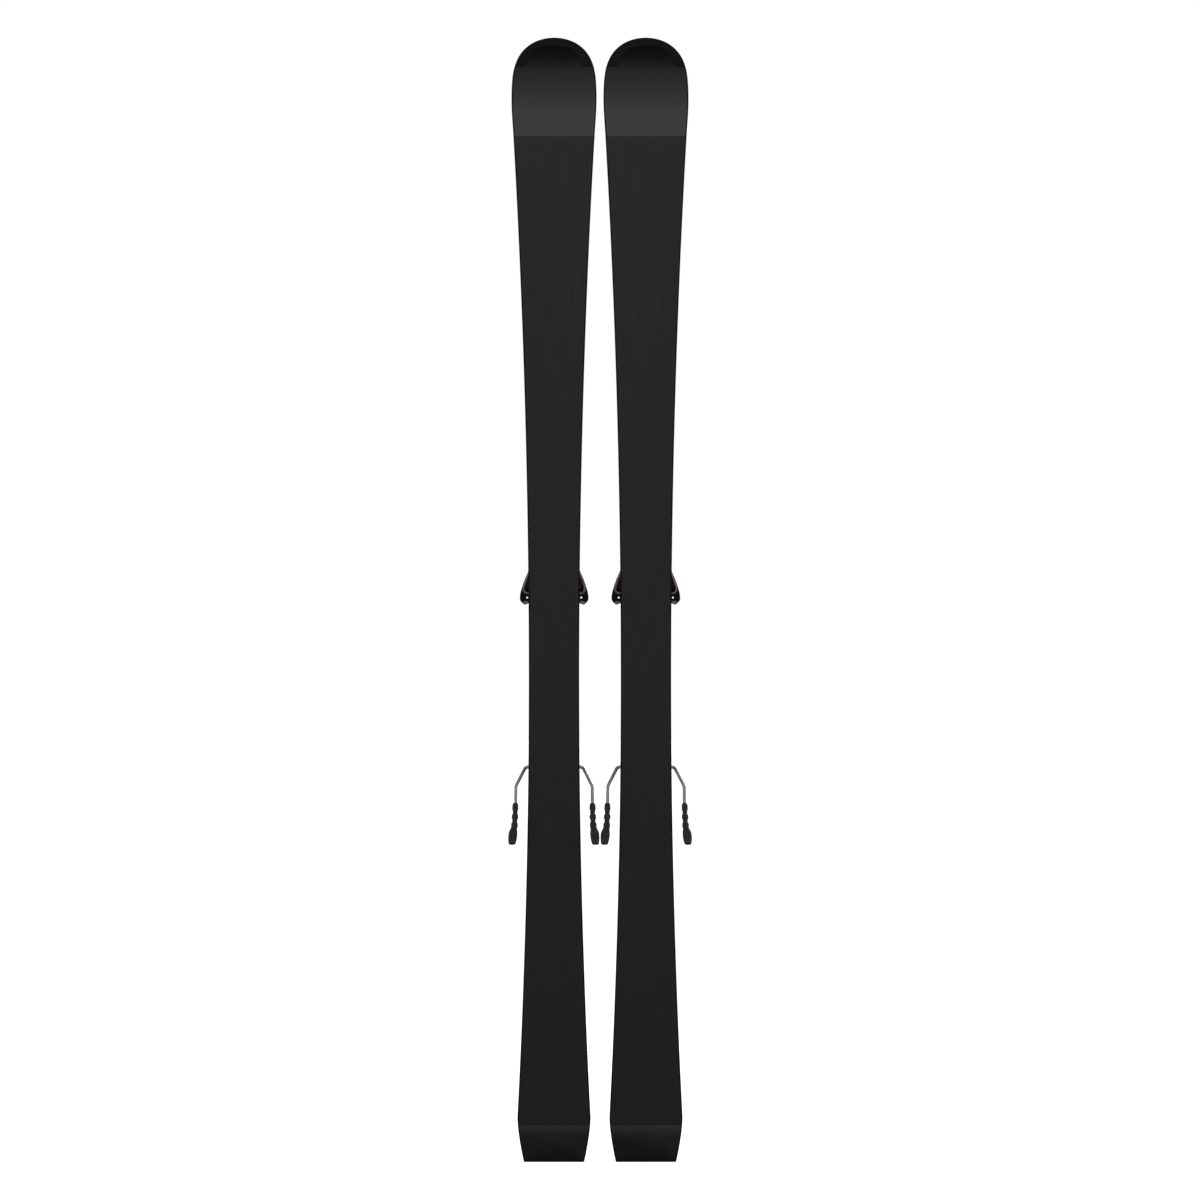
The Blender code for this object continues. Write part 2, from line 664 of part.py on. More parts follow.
def build_heel(prefix, ski):
    build_track(prefix + "heel_track", HEEL_TRACK, ski)
    carriage = Pivot(prefix + "carriage_slide", (0, HEEL_TRACK[0], 0), ski)
    build_carriage(prefix, carriage)
    y, z = HEEL_PIN
    place(prefix + "heel_pin", cylinder((-27, y, z), (27, y, z), PIN_RADIUS, 16), STEEL, carriage)
    housing = Pivot(prefix + "heel_pivot", (0, y, z), carriage, HEEL_OPEN)
    build_heel_housing(prefix, housing)
    coil = helix((0, y - 34, z + HEEL_BORE_Z), 44.0, 6.8, 7)
    tube(prefix + "heel_spring", coil, 1.3, SPRING_STEEL, housing, 1)
    screw = Pivot(prefix + "heel_screw_pivot", (0, y - 45, z + HEEL_BORE_Z), housing)
    tail = y - 48.5
    build_screw(prefix + "heel_screw", (0, y - 37, z + HEEL_BORE_Z), (0, tail, z + HEEL_BORE_Z), 8.8, screw)
    hinge = (0, y + LEVER_HINGE[0], z + LEVER_HINGE[1])
    build_lever(prefix, Pivot(prefix + "lever_pivot", hinge, housing))
    build_latch(prefix, Pivot(prefix + "latch_pivot", (0, *LATCH_HINGE), carriage))
    return carriage


# ---------------------------------------------------------------- brake


def arm_point(x, y, sign):
    """A point of a lowered brake arm, which drops in a plane behind its pivot."""
    drop = (BRAKE_PIVOT[1] - y) * math.tan(BRAKE_DROP)
    return Vector((sign * x, y, BRAKE_PIVOT[2] + 1.8 - drop))


def build_brake_arm(prefix, side, sign, carriage):
    """One brake arm: a bent wire with a crank under the pedal, and the plastic claw on its end."""
    px, py, pz = BRAKE_PIVOT
    pivot = Pivot(f"{prefix}brake_{side}_pivot", (sign * px, py, pz), carriage)
    lean = Vector((sign * math.cos(BRAKE_LEAN), 0, math.sin(BRAKE_LEAN)))
    hinge = Vector((sign * px, py, pz))
    inner, outer = hinge - lean * 9, hinge + lean * 13.5
    reach = Vector((0, math.cos(CRANK_RISE), math.sin(CRANK_RISE))) * CRANK
    crank = inner + reach
    corners = [crank - Vector((sign * 9, 0, 0)), crank, inner, outer,
               arm_point(54.8, 541.5, sign), arm_point(55.6, 519.0, sign), arm_point(56.2, 508.0, sign)]
    wire = rounded_path(corners, 6.5)
    tube(f"{prefix}brake_wire_{side}", wire, WIRE_RADIUS, STEEL, pivot)

    def ring(x, y, half, deep):
        """A section of the claw, square to the arm."""
        at = arm_point(x, y, sign)
        up = Vector((0, -math.sin(BRAKE_DROP), math.cos(BRAKE_DROP)))
        turn = [math.radians(22.5 + 45 * i) for i in range(8)]
        return [at + Vector((half * math.cos(a), 0, 0)) + up * (deep * math.sin(a)) for a in turn]

    sections = [
        (55.7, 520.6, 3.6, 3.6), (55.8, 517.5, 4.4, 4.2), (55.9, 512.0, 4.7, 4.4), (56.0, 509.5, 3.9, 4.0),
        (56.2, 505.0, 3.8, 4.0), (56.2, 502.0, 4.8, 4.6), (56.4, 499.0, 3.8, 4.2), (56.7, 493.5, 3.9, 4.4),
        (56.9, 490.0, 5.1, 5.2), (57.4, 486.5, 4.7, 5.2), (58.2, 481.5, 6.0, 6.2), (58.8, 477.5, 6.6, 6.6),
        (59.4, 471.0, 6.5, 6.2), (59.6, 465.5, 6.1, 4.4), (59.8, 462.0, 4.6, 2.4),
    ]
    claw = place(f"{prefix}brake_claw_{side}", loft([ring(*s) for s in sections]), WING_BLACK, pivot)
    mouth, end = arm_point(55.45, 524.0, sign), arm_point(56.3, 506.0, sign)
    combine(claw, cylinder(mouth, end, WIRE_RADIUS + GAP, 12), pivot)


def build_brake(prefix, carriage):
    """The brake: a plate with bearings, a pedal that the boot presses, and an arm on each side."""
    plan = mirrored([(0, 664), (22, 664), (26, 660), (27, 628), (33.2, 618), (33.2, 549), (0, 549)])
    slab = prism(plan, TRACK_TOP + GAP, PLATE_TOP - 2.0, "z")
    plate = place(prefix + "brake_plate", slab, BODY_BLACK, carriage)
    px, py, pz = BRAKE_PIVOT
    for sign in (-1, 1):
        tower = [(py - 8, PLATE_TOP - 3), (py + 8, PLATE_TOP - 3), (py + 6, pz + 5), (py - 6, pz + 5)]
        combine(plate, prism(tower, sign * 26.0, sign * 33.5), carriage, "UNION")
        lean = Vector((sign * math.cos(BRAKE_LEAN), 0, math.sin(BRAKE_LEAN)))
        at = Vector((sign * px, py, pz))
        combine(plate, cylinder(at - lean * 22, at + lean * 22, WIRE_RADIUS + GAP, 12), carriage)
    combine(plate, box((-24.5, 566.0, 24), (24.5, 628.0, 40)), carriage)
    combine(plate, box((-30.0, 572.5, 24), (30.0, 616.0, 40)), carriage)
    hy, hz = PEDAL_HINGE
    for sign in (-1, 1):
        ear = [(hy - 7, PLATE_TOP - 3), (hy + 7, PLATE_TOP - 3), (hy + 5, hz + 4), (hy - 5, hz + 4)]
        combine(plate, prism(ear, sign * 19.0, sign * 23.0), carriage, "UNION")
        combine(plate, cylinder((sign * 17, hy, hz), (sign * 25, hy, hz), 2.9, 12), carriage)
    pedal = Pivot(prefix + "pedal_pivot", (0, hy, hz), carriage, -PEDAL_LIFT)
    free_end = hy - PEDAL_LENGTH
    outline = [(hy + 3, hz - 1.5), (hy + 2.4, hz + 2.2), (hy - 6, hz + 4.2), (free_end + 6, hz + 4.2),
               (free_end, hz + 2.6), (free_end, hz + 1.1), (hy - 8, hz + 1.1)]
    step = place(prefix + "brake_pedal", prism(outline, -18.4, 18.4), BODY_BLACK, pedal)
    combine(step, cylinder((-22.6, hy, hz), (22.6, hy, hz), 2.5, 12), pedal, "UNION")
    for side, sign in sides(prefix):
        build_brake_arm(prefix, side, sign, carriage)


# ---------------------------------------------------------------- the pair


def build_ski(prefix, across):
    """One ski with its binding, stood upright at a place across the pair."""
    ski = Pivot(prefix + "ski_frame", (0, 0, 0))
    ski.empty.location = (across * MM, 0, 0)
    ski.empty.rotation_euler = (math.pi / 2, 0, math.pi)
    build_laminate(prefix, ski)
    build_toe(prefix, ski)
    carriage = build_heel(prefix, ski)
    build_brake(prefix, carriage)


clear_scene()
parts = new_collection("alpine_skis")
cutters = new_collection("cutters")
build_ski("left_", -PAIR_SPACING / 2)
build_ski("right_", PAIR_SPACING / 2)
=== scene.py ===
"""The looks of a pair of alpine skis with step-in bindings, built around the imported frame.

Pieces are drawn in a ski's own space, in millimetres: x across the ski, y from the tail, z up from the
plane that the base touches. UPRIGHT stands that space on its tail, and each piece is set on both skis.
"""

import json
import math

import bmesh
import bpy
from mathutils import Matrix, Vector


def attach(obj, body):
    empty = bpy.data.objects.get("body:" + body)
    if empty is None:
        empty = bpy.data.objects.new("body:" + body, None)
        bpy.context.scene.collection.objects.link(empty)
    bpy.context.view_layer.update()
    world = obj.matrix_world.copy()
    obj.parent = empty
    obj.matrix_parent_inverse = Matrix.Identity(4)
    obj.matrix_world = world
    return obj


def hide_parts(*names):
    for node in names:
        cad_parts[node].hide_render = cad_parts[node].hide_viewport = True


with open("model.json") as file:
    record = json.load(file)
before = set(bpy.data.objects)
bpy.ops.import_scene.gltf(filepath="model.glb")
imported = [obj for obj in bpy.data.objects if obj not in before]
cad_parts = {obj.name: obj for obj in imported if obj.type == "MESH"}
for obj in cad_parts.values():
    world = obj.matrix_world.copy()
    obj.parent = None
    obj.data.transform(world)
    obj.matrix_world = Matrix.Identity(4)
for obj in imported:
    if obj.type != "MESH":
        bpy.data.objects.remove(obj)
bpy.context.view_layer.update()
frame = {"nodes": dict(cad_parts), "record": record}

MM = 0.001
SKIS = {"left": -0.0665, "right": 0.0665}
UPRIGHT = Matrix(((-MM, 0, 0, 0), (0, 0, MM, 0), (0, MM, 0, 0), (0, 0, 0, 1)))
SMOOTH_BELOW = math.radians(42)

# The ski's form
LENGTH = 1630.0
TAIL_CONTACT, TIP_CONTACT = 53.6, 1487.7
WAIST_AT, WAIST_HALF = 699.0, 36.4
FRONT_FLARE, FRONT_REACH = 26.0, 846.7
REAR_FLARE, REAR_REACH = 16.9, 640.0
NOSE_START, NOSE_HALF, NOSE_POWER = 1530.0, 61.4, 3.5
NOSE_BLEND = (1490.0, 1560.0)
TAIL_TAPER, TAIL_TAPER_LENGTH, TAIL_TAPER_POWER = 12.9, 66.0, 1.4
CAMBER, TIP_RISE, TAIL_RISE = 4.0, 52.0, 7.0
THICK_TIP, THICK_WAIST, THICK_TAIL = 6.0, 15.5, 7.0
THICK_REGION = (520.0, 930.0)
CAP_LEGS_AT = 1585.0
ARCH_HALF, ARCH_RISE = 41.0, 32.5
GROUND_END = 1483.4
ARCH_STEPS = 28
TAIL_CAP = 3.0
CAP_RISE = 0.7
BASE_THICK, TOP_THICK = 1.2, 0.8
EDGE_HEAD, EDGE_HIGH = 2.0, 1.9
FLANGE, FLANGE_LOW = 5.5, 1.4
SIDE_SLOPE, SIDE_WIDTH = 2.1, 7.7

# The binding's datums
TRACK_TOP, TRACK_HALF, TRACK_FOOT_HALF = 26.0, 28.0, 24.0
PLATE_TOP = 31.0
TOE_PIVOT = 872.0
BARREL_REAR, BARREL_FRONT, BARREL_AXIS = 890.0, 930.0, 46.0
BARREL_SQUARENESS = 0.62
SPRING_BORE, SCREW_BORE = 9.2, 6.9
COIL_RADIUS, COIL_WIRE = 6.8, 1.2
WING_BOTTOM, WING_TOP, LUG_TOP = 37.0, 59.0, 50.5
WING_HOLE = (39.3, 816.4)
HEEL_PIN, PIN_BORE = (505.0, 46.0), 3.5
HEEL_OPEN = math.radians(35.0)
HEEL_HALF = 30.0
LEVER_HINGE = (-4.0, 51.0)
HEEL_BORE_Z = 31.0
LATCH_HINGE = (446.0, 29.5)
BRAKE_PIVOT = (30.0, 572.0, 31.0)
BRAKE_DROP, BRAKE_LEAN = math.radians(40.0), math.radians(12.0)
WIRE_RADIUS = 2.5
CLAW_SQUARENESS = 0.75
CRANK, CRANK_RISE = 36.0, math.radians(45.0)
PEDAL_HINGE = (652.0, 35.5)
PEDAL_LENGTH, PEDAL_LIFT = 65.0, math.radians(24.6)

# Camera
FRAME_WIDTH = 1.7345
CAMERA_DISTANCE = 10.0
SENSOR = 36.0
VIEW_HEIGHT = 0.8129

# What lights the skis, by elevation in degrees
SKY = ((0.0, 0.9), (4.0, 1.0), (22.0, 0.97), (32.0, 0.76), (42.0, 0.53), (48.0, 0.49), (53.0, 0.42),
       (57.0, 0.32), (60.0, 0.15), (64.0, 0.03), (70.0, 0.01), (90.0, 0.01))
SKY_STRENGTH = 1.1
FLOOR_GLOW = 1.0
LIT_PLACE = (0.0, 0.0, 0.75)


# ---------------------------------------------------------------- materials


class Nodes:
    """A short way to build a material's nodes around one Principled shader."""

    def __init__(self, name, colour, roughness, metallic=0.0, **sockets):
        self.material = bpy.data.materials.new(name)
        self.material.use_nodes = True
        self.tree = self.material.node_tree
        self.shader = self.tree.nodes["Principled BSDF"]
        self.set("Base Color", (*colour, 1.0))
        self.set("Roughness", roughness)
        self.set("Metallic", metallic)
        for socket, value in sockets.items():
            self.set(socket.replace("_", " "), value)
        self.where = self.add("ShaderNodeTexCoord").outputs["Object"]

    def set(self, socket, value):
        self.shader.inputs[socket].default_value = value

    def add(self, kind, **settings):
        node = self.tree.nodes.new(kind)
        for key, value in settings.items():
            if key in node.bl_rna.properties:
                setattr(node, key, value)
            else:
                node.inputs[key.replace("_", " ")].default_value = value
        return node

    def link(self, source, target):
        self.tree.links.new(source, target)

    def stretched(self, scale):
        mapping = self.add("ShaderNodeMapping")
        mapping.inputs["Scale"].default_value = scale
        self.link(self.where, mapping.inputs["Vector"])
        return mapping.outputs["Vector"]

    def noise(self, scale, detail=3.0, vector=None):
        node = self.add("ShaderNodeTexNoise", Scale=scale, Detail=detail)
        self.link(vector or self.where, node.inputs["Vector"])
        return node.outputs["Fac"]

    def span(self, source, low, high, start=0.0, end=1.0):
        """A value that runs from low to high as the source runs from start to end."""
        node = self.add("ShaderNodeMapRange")
        for socket, value in (("From Min", start), ("From Max", end), ("To Min", low), ("To Max", high)):
            node.inputs[socket].default_value = value
        self.link(source, node.inputs["Value"])
        return node.outputs["Result"]

    def blend(self, share, first, second):
        """A colour between two, each a colour or a socket."""
        node = self.add("ShaderNodeMix", data_type="RGBA")
        for socket, colour in ((node.inputs[6], first), (node.inputs[7], second)):
            if isinstance(colour, bpy.types.NodeSocket):
                self.link(colour, socket)
            else:
                socket.default_value = (*colour, 1.0)
        self.link(share, node.inputs["Factor"])
        return node.outputs[2]

    def calculate(self, operation, *values):
        node = self.add("ShaderNodeMath", operation=operation)
        for socket, value in zip(node.inputs, values):
            if isinstance(value, bpy.types.NodeSocket):
                self.link(value, socket)
            else:
                socket.default_value = value
        return node.outputs[0]

    def along(self):
        """The place along the ski, in metres from the tail."""
        split = self.add("ShaderNodeSeparateXYZ")
        self.link(self.where, split.inputs[0])
        return split.outputs["Z"]

    def drive(self, socket, source):
        self.link(source, self.shader.inputs[socket])

    def bump(self, height, strength, distance=0.0004):
        node = self.add("ShaderNodeBump", Strength=strength, Distance=distance)
        self.link(height, node.inputs["Height"])
        self.link(node.outputs["Normal"], self.shader.inputs["Normal"])


def shade(colour, factor):
    return tuple(min(1.0, channel * factor) for channel in colour)


def moulded(name, colour, roughness, **sockets):
    """Moulded plastic: an eroded grain, cloudy gloss and a slight change of tone."""
    made = Nodes(name, colour, roughness, **sockets)
    cloud = made.noise(38.0)
    tone = made.span(cloud, 0.0, 1.0, 0.3, 0.7)
    made.drive("Base Color", made.blend(tone, shade(colour, 0.82), shade(colour, 1.35)))
    made.drive("Roughness", made.span(cloud, roughness - 0.05, roughness + 0.07, 0.3, 0.7))
    made.bump(made.noise(900.0, 2.0), 0.12, 0.0002)
    return made.material


def steel(name, colour, roughness, streak=(1.0, 1.0, 1.0)):
    """Drawn or ground steel, streaked along its length."""
    made = Nodes(name, colour, roughness, 1.0)
    grain = made.noise(420.0, 4.0, made.stretched(streak))
    made.drive("Base Color", made.blend(grain, shade(colour, 0.8), shade(colour, 1.15)))
    made.drive("Roughness", made.span(grain, roughness - 0.06, roughness + 0.08, 0.3, 0.7))
    made.bump(grain, 0.06, 0.0001)
    return made.material


def ground_base():
    """Sintered base with a fine ground structure, painted lighter towards the tip as a painted reflection.
    """
    made = Nodes("ground_base", (0.012, 0.012, 0.012), 0.5, Specular_IOR_Level=0.22)
    # painted reflection: the colour runs lighter from the tail contact to the end of the ground zone,
    # standing in for reflected light
    tone = made.span(made.along(), 0.0, 1.0, TAIL_CONTACT * MM, GROUND_END * MM)
    base = made.blend(tone, (0.0085, 0.0085, 0.0085), (0.024, 0.024, 0.024))
    streaks = made.noise(60.0, 4.0, made.stretched((9.0, 9.0, 0.25)))
    made.drive("Base Color", made.blend(made.span(streaks, 0.0, 0.2, 0.3, 0.7), base, (0.0, 0.0, 0.0)))
    made.drive("Roughness", made.span(streaks, 0.46, 0.54, 0.3, 0.7))
    made.bump(made.noise(1500.0, 1.0, made.stretched((1.0, 1.0, 0.03))), 0.08, 0.0001)
    return made.material


def smooth_base():
    """The same base beyond the contact lines: smooth, with the structure running out at the tail."""
    black = (0.005, 0.005, 0.005)
    made = Nodes("smooth_base", black, 0.18)
    cloud, height = made.noise(24.0), made.along()
    made.drive("Base Color", made.blend(cloud, shade(black, 0.85), shade(black, 1.15)))
    run_out = made.span(height, 0.0, 0.2, (TAIL_CONTACT - 16) * MM, TAIL_CONTACT * MM)
    at_tail = made.calculate("LESS_THAN", height, TAIL_CONTACT * MM)
    rough = made.calculate("MULTIPLY", run_out, at_tail)
    made.drive("Roughness", made.calculate("ADD", made.span(cloud, 0.16, 0.2, 0.3, 0.7), rough))
    made.bump(made.noise(700.0, 2.0), 0.02, 0.0001)
    return made.material


def topsheet():
    """Satin topsheet: a fine twill under clear lacquer, with a plain grey panel fore and aft."""
    black, grey = (0.013, 0.013, 0.014), (0.05, 0.051, 0.054)
    made = Nodes("topsheet", black, 0.3, Coat_Weight=0.35, Coat_Roughness=0.12)
    twill = made.add("ShaderNodeTexWave", bands_direction="DIAGONAL", Scale=190.0, Distortion=0.0)
    made.link(made.stretched((1.0, 0.0, 1.0)), twill.inputs["Vector"])
    cloth = made.blend(twill.outputs["Fac"], shade(black, 0.7), shade(black, 1.9))
    height = made.along()
    fore = made.span(height, 0.0, 1.0, 1.04, 1.36)
    aft = made.span(height, 1.0, 0.0, 0.14, 0.36)
    speckle = made.span(made.noise(700.0, 2.0), 0.75, 1.25, 0.3, 0.7)
    panel = made.calculate("MULTIPLY", made.calculate("MAXIMUM", fore, aft), speckle)
    made.drive("Base Color", made.blend(made.calculate("MINIMUM", panel, 1.0), cloth, grey))
    made.drive("Roughness", made.span(made.noise(55.0), 0.27, 0.34, 0.3, 0.7))
    made.bump(twill.outputs["Fac"], 0.05, 0.0001)
    return made.material


def painted_shade_round(name, colour, roughness, metallic, streak=(1.0, 1.0, 1.0), **sockets):
    """For a round piece: lighter along its middle than towards its sides, a painted highlight and painted
    shade by how its faces turn.
    """
    made = Nodes(name, colour, roughness, metallic, **sockets)
    painted_shade_facing = made.add("ShaderNodeLayerWeight", Blend=0.4)
    grain = made.noise(420.0, 4.0, made.stretched(streak))
    middle = made.blend(grain, shade(colour, 0.9), shade(colour, 1.12))
    # painted shade: the colour darkens towards the sides by how they face, and the middle stays light as a
    # painted highlight
    made.drive("Base Color", made.blend(painted_shade_facing.outputs["Facing"], middle, shade(colour, 0.35)))
    made.drive("Roughness", made.span(grain, roughness - 0.05, roughness + 0.05, 0.3, 0.7))
    made.bump(grain, 0.05, 0.0001)
    return made.material


MATERIALS = {
    "base_black": ground_base(),
    # edge_steel is near-black, a painted dark reflection on the edge's base face; the same steel on the
    # side faces is edge_side
    "edge_steel": steel("edge_steel", (0.011, 0.011, 0.011), 0.5, (6.0, 6.0, 0.1)),
    "laminate": moulded("laminate", (0.1, 0.07, 0.05), 0.6),
    "sidewall_black": moulded("sidewall_black", (0.010, 0.010, 0.010), 0.4),
    "topsheet_black": topsheet(),
    "cap_black": moulded("cap_black", (0.0035, 0.0035, 0.0035), 0.7, Specular_IOR_Level=0.19),
    "track_grey": moulded("track_grey", (0.03, 0.03, 0.032), 0.45),
    "binding_black": moulded("binding_black", (0.013, 0.013, 0.014), 0.36),
    "wing_black": moulded("wing_black", (0.005, 0.005, 0.005), 0.42, Specular_IOR_Level=0.08),
    "lever_grey": moulded("lever_grey", (0.05, 0.05, 0.053), 0.38),
    "glide_plate": moulded("glide_plate", (0.42, 0.42, 0.41), 0.3),
    "bright_steel": steel("bright_steel", (0.58, 0.58, 0.58), 0.25, (1.0, 1.0, 0.2)),
    "spring_steel": steel("spring_steel", (0.3, 0.3, 0.3), 0.35),
}
SMOOTH_BASE = smooth_base()
EDGE_SIDE = steel("edge_side", (0.42, 0.42, 0.43), 0.3, (6.0, 6.0, 0.1))
# The wires and claws carry painted shade on their sides and a painted highlight along their middle.
WIRE_STEEL = painted_shade_round("wire_steel", (0.52, 0.49, 0.48), 0.45, 0.4, (1.0, 1.0, 0.2),
                        Specular_IOR_Level=0.15)
# painted highlight: the grey of the beads under the wings stands in for light caught on the black rim and
# bottom facet
BEAD_GREY_PAINTED_HIGHLIGHT = moulded("bead_grey_painted_highlight", (0.19, 0.19, 0.192), 0.4)
INSERT_RED = moulded("insert_red", (0.07, 0.004, 0.018), 0.5, Specular_IOR_Level=0.2)
CLAW_BLACK = painted_shade_round("claw_black", (0.041, 0.041, 0.041), 0.4, 0.0, Specular_IOR_Level=0.06)
TICK_WHITE = moulded("tick_white", (0.55, 0.55, 0.54), 0.5)


# ---------------------------------------------------------------- drawing


def box(low, high):
    bm = bmesh.new()
    bmesh.ops.create_cube(bm, size=1.0)
    low, high = Vector(low), Vector(high)
    bmesh.ops.scale(bm, vec=high - low, verts=bm.verts)
    bmesh.ops.translate(bm, vec=(low + high) / 2, verts=bm.verts)
    return bm


def cylinder(start, end, radius, sides=40, end_radius=None):
    start, end = Vector(start), Vector(end)
    along = end - start
    bm = bmesh.new()
    far = radius if end_radius is None else end_radius
    bmesh.ops.create_cone(
        bm, cap_ends=True, segments=sides, radius1=radius, radius2=far, depth=along.length
    )
    turn = along.to_track_quat("Z", "Y").to_matrix().to_4x4()
    bmesh.ops.transform(bm, matrix=Matrix.Translation((start + end) / 2) @ turn, verts=bm.verts)
    return bm


def loft(rings):
    """Skins rings of points, one after another, and closes both ends."""
    bm = bmesh.new()
    rows = [[bm.verts.new(p) for p in ring] for ring in rings]
    count = len(rows[0])
    for near, far in zip(rows, rows[1:]):
        for i in range(count):
            j = (i + 1) % count
            bm.faces.new((near[i], near[j], far[j], far[i]))
    bm.faces.new(rows[0])
    bm.faces.new(rows[-1])
    return bm


def prism(outline, low, high, axis="x"):
    """A flat outline pushed from low to high: (y, z) points along x, or (x, y) points along z."""
    if axis == "x":
        return loft([[(x, a, b) for a, b in outline] for x in (low, high)])
    return loft([[(a, b, z) for a, b in outline] for z in (low, high)])


def together(shapes):
    """Several loose shapes as one."""
    whole = bmesh.new()
    for bm in shapes:
        part = bpy.data.meshes.new("part")
        bm.to_mesh(part)
        bm.free()
        whole.from_mesh(part)
        bpy.data.meshes.remove(part)
    return whole


def mirrored(outline):
    """The whole outline of a shape whose right half is given, from front to rear, in (x, y)."""
    return outline + [(-x, y) for x, y in reversed(outline) if x]


def arc(centre, radius, start, end, steps):
    """Points on an arc, from one angle to another in degrees."""
    angles = [math.radians(start + (end - start) * i / steps) for i in range(steps + 1)]
    return [(centre[0] + radius * math.cos(a), centre[1] + radius * math.sin(a)) for a in angles]


def eased(corners, radius):
    """The corner points joined by straight runs, with each inner corner eased by a curve."""
    steps = 8
    corners = [Vector(c) for c in corners]
    path = [corners[0]]
    for before, at, after in zip(corners, corners[1:], corners[2:]):
        reach = min(radius, (before - at).length * 0.45, (after - at).length * 0.45)
        start = at + (before - at).normalized() * reach
        end = at + (after - at).normalized() * reach
        for i in range(steps + 1):
            t = i / steps
            path.append(start * (1 - t) ** 2 + at * (2 * t * (1 - t)) + end * t**2)
    return path + [corners[-1]]


def smooth(value, low, high):
    t = min(1.0, max(0.0, (value - low) / (high - low)))
    return t * t * (3 - 2 * t)


class Shape:
    """A solid that is cut, joined and rounded with modifiers before it is set on the skis."""

    def __init__(self, bm):
        self.obj = self.spawn(bm)

    @staticmethod
    def spawn(bm):
        bmesh.ops.recalc_face_normals(bm, faces=bm.faces)
        mesh = bpy.data.meshes.new("draft")
        bm.to_mesh(mesh)
        bm.free()
        obj = bpy.data.objects.new("draft", mesh)
        bpy.context.scene.collection.objects.link(obj)
        return obj

    def apply(self):
        bpy.context.view_layer.update()
        graph = bpy.context.evaluated_depsgraph_get()
        before = self.obj.data
        mesh = bpy.data.meshes.new_from_object(self.obj.evaluated_get(graph))
        self.obj.modifiers.clear()
        self.obj.data = mesh
        bpy.data.meshes.remove(before)
        return self

    def boolean(self, operation, tools):
        for bm in tools:
            tool = self.spawn(bm)
            modifier = self.obj.modifiers.new("boolean", "BOOLEAN")
            modifier.operation = operation
            modifier.object = tool
            self.apply()
            mesh = tool.data
            bpy.data.objects.remove(tool)
            bpy.data.meshes.remove(mesh)
        return self

    def cut(self, *tools):
        return self.boolean("DIFFERENCE", tools)

    def join(self, *tools):
        return self.boolean("UNION", tools)

    def round(self, width, segments=3, angle=30.0):
        modifier = self.obj.modifiers.new("round", "BEVEL")
        modifier.width = width
        modifier.segments = segments
        modifier.limit_method = "ANGLE"
        modifier.angle_limit = math.radians(angle)
        return self.apply()

    def hand_on(self):
        """Gives up the shape so far, to be used in another."""
        bm = bmesh.new()
        bm.from_mesh(self.obj.data)
        bpy.data.objects.remove(self.obj)
        return bm

    def take(self):
        """The finished mesh, smooth shaded with its flat faces kept flat."""
        self.obj.data.shade_smooth()
        self.obj.data.set_sharp_from_angle(angle=SMOOTH_BELOW)
        modifier = self.obj.modifiers.new("weighted", "WEIGHTED_NORMAL")
        modifier.keep_sharp = True
        self.apply()
        mesh = self.obj.data
        bpy.data.objects.remove(self.obj)
        return mesh


def tube(path, radius):
    """A round wire with closed ends along a path."""
    data = bpy.data.curves.new("wire", "CURVE")
    data.dimensions = "3D"
    data.bevel_depth = radius
    data.bevel_resolution = 6
    data.use_fill_caps = True
    spline = data.splines.new("POLY")
    spline.points.add(len(path) - 1)
    for point, at in zip(spline.points, path):
        point.co = (*at, 1.0)
    obj = bpy.data.objects.new("wire", data)
    bpy.context.scene.collection.objects.link(obj)
    bpy.context.view_layer.update()
    graph = bpy.context.evaluated_depsgraph_get()
    mesh = bpy.data.meshes.new_from_object(obj.evaluated_get(graph))
    bpy.data.objects.remove(obj)
    bm = bmesh.new()
    bm.from_mesh(mesh)
    bmesh.ops.remove_doubles(bm, verts=bm.verts, dist=0.01)
    bpy.data.meshes.remove(mesh)
    return bm


def rounded(bm, width):
    """The shape with its edges rounded."""
    return Shape(bm).round(width).hand_on()


def coil(y, z, length, turns):
    """A spring wound about an axis along y, midway across the ski."""
    steps = 16
    count = turns * steps
    path = []
    for i in range(count + 1):
        a = 2 * math.pi * i / steps
        path.append((COIL_RADIUS * math.cos(a), y + length * i / count, z + COIL_RADIUS * math.sin(a)))
    return tube(path, COIL_WIRE)


def squared(turn, power):
    """A point of the unit circle, pushed out towards a square by a power below 1."""
    across, up = math.cos(turn), math.sin(turn)
    return math.copysign(abs(across) ** power, across), math.copysign(abs(up) ** power, up)


def side_of(ski, sign):
    """Which side of a ski the local sign of x is: inner faces the other ski."""
    return "inner" if (ski == "left") == (sign < 0) else "outer"


def settle(name, mesh, body, slot, stands_for=(), sign=0, materials=None, turn=None):
    """Sets a mesh on both skis. {side} in the names becomes inner or outer."""
    if turn:
        mesh.transform(turn)
    mesh.transform(UPRIGHT)
    for material in materials or [MATERIALS[slot]]:
        mesh.materials.append(material)
    for ski, x0 in SKIS.items():
        side = side_of(ski, sign)
        obj = bpy.data.objects.new(f"{ski}_{name}".format(side=side), mesh)
        bpy.context.scene.collection.objects.link(obj)
        obj.location.x = x0
        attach(obj, f"{ski}_{body}".format(side=side))
        for node in stands_for:
            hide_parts(f"{ski}_{node}".format(side=side))


def about(angle, y, z):
    """A turn in the ski's side view about an axis across it."""
    at = Matrix.Translation((0, y, z))
    return at @ Matrix.Rotation(angle, 4, "X") @ at.inverted()


# ---------------------------------------------------------------- the ski


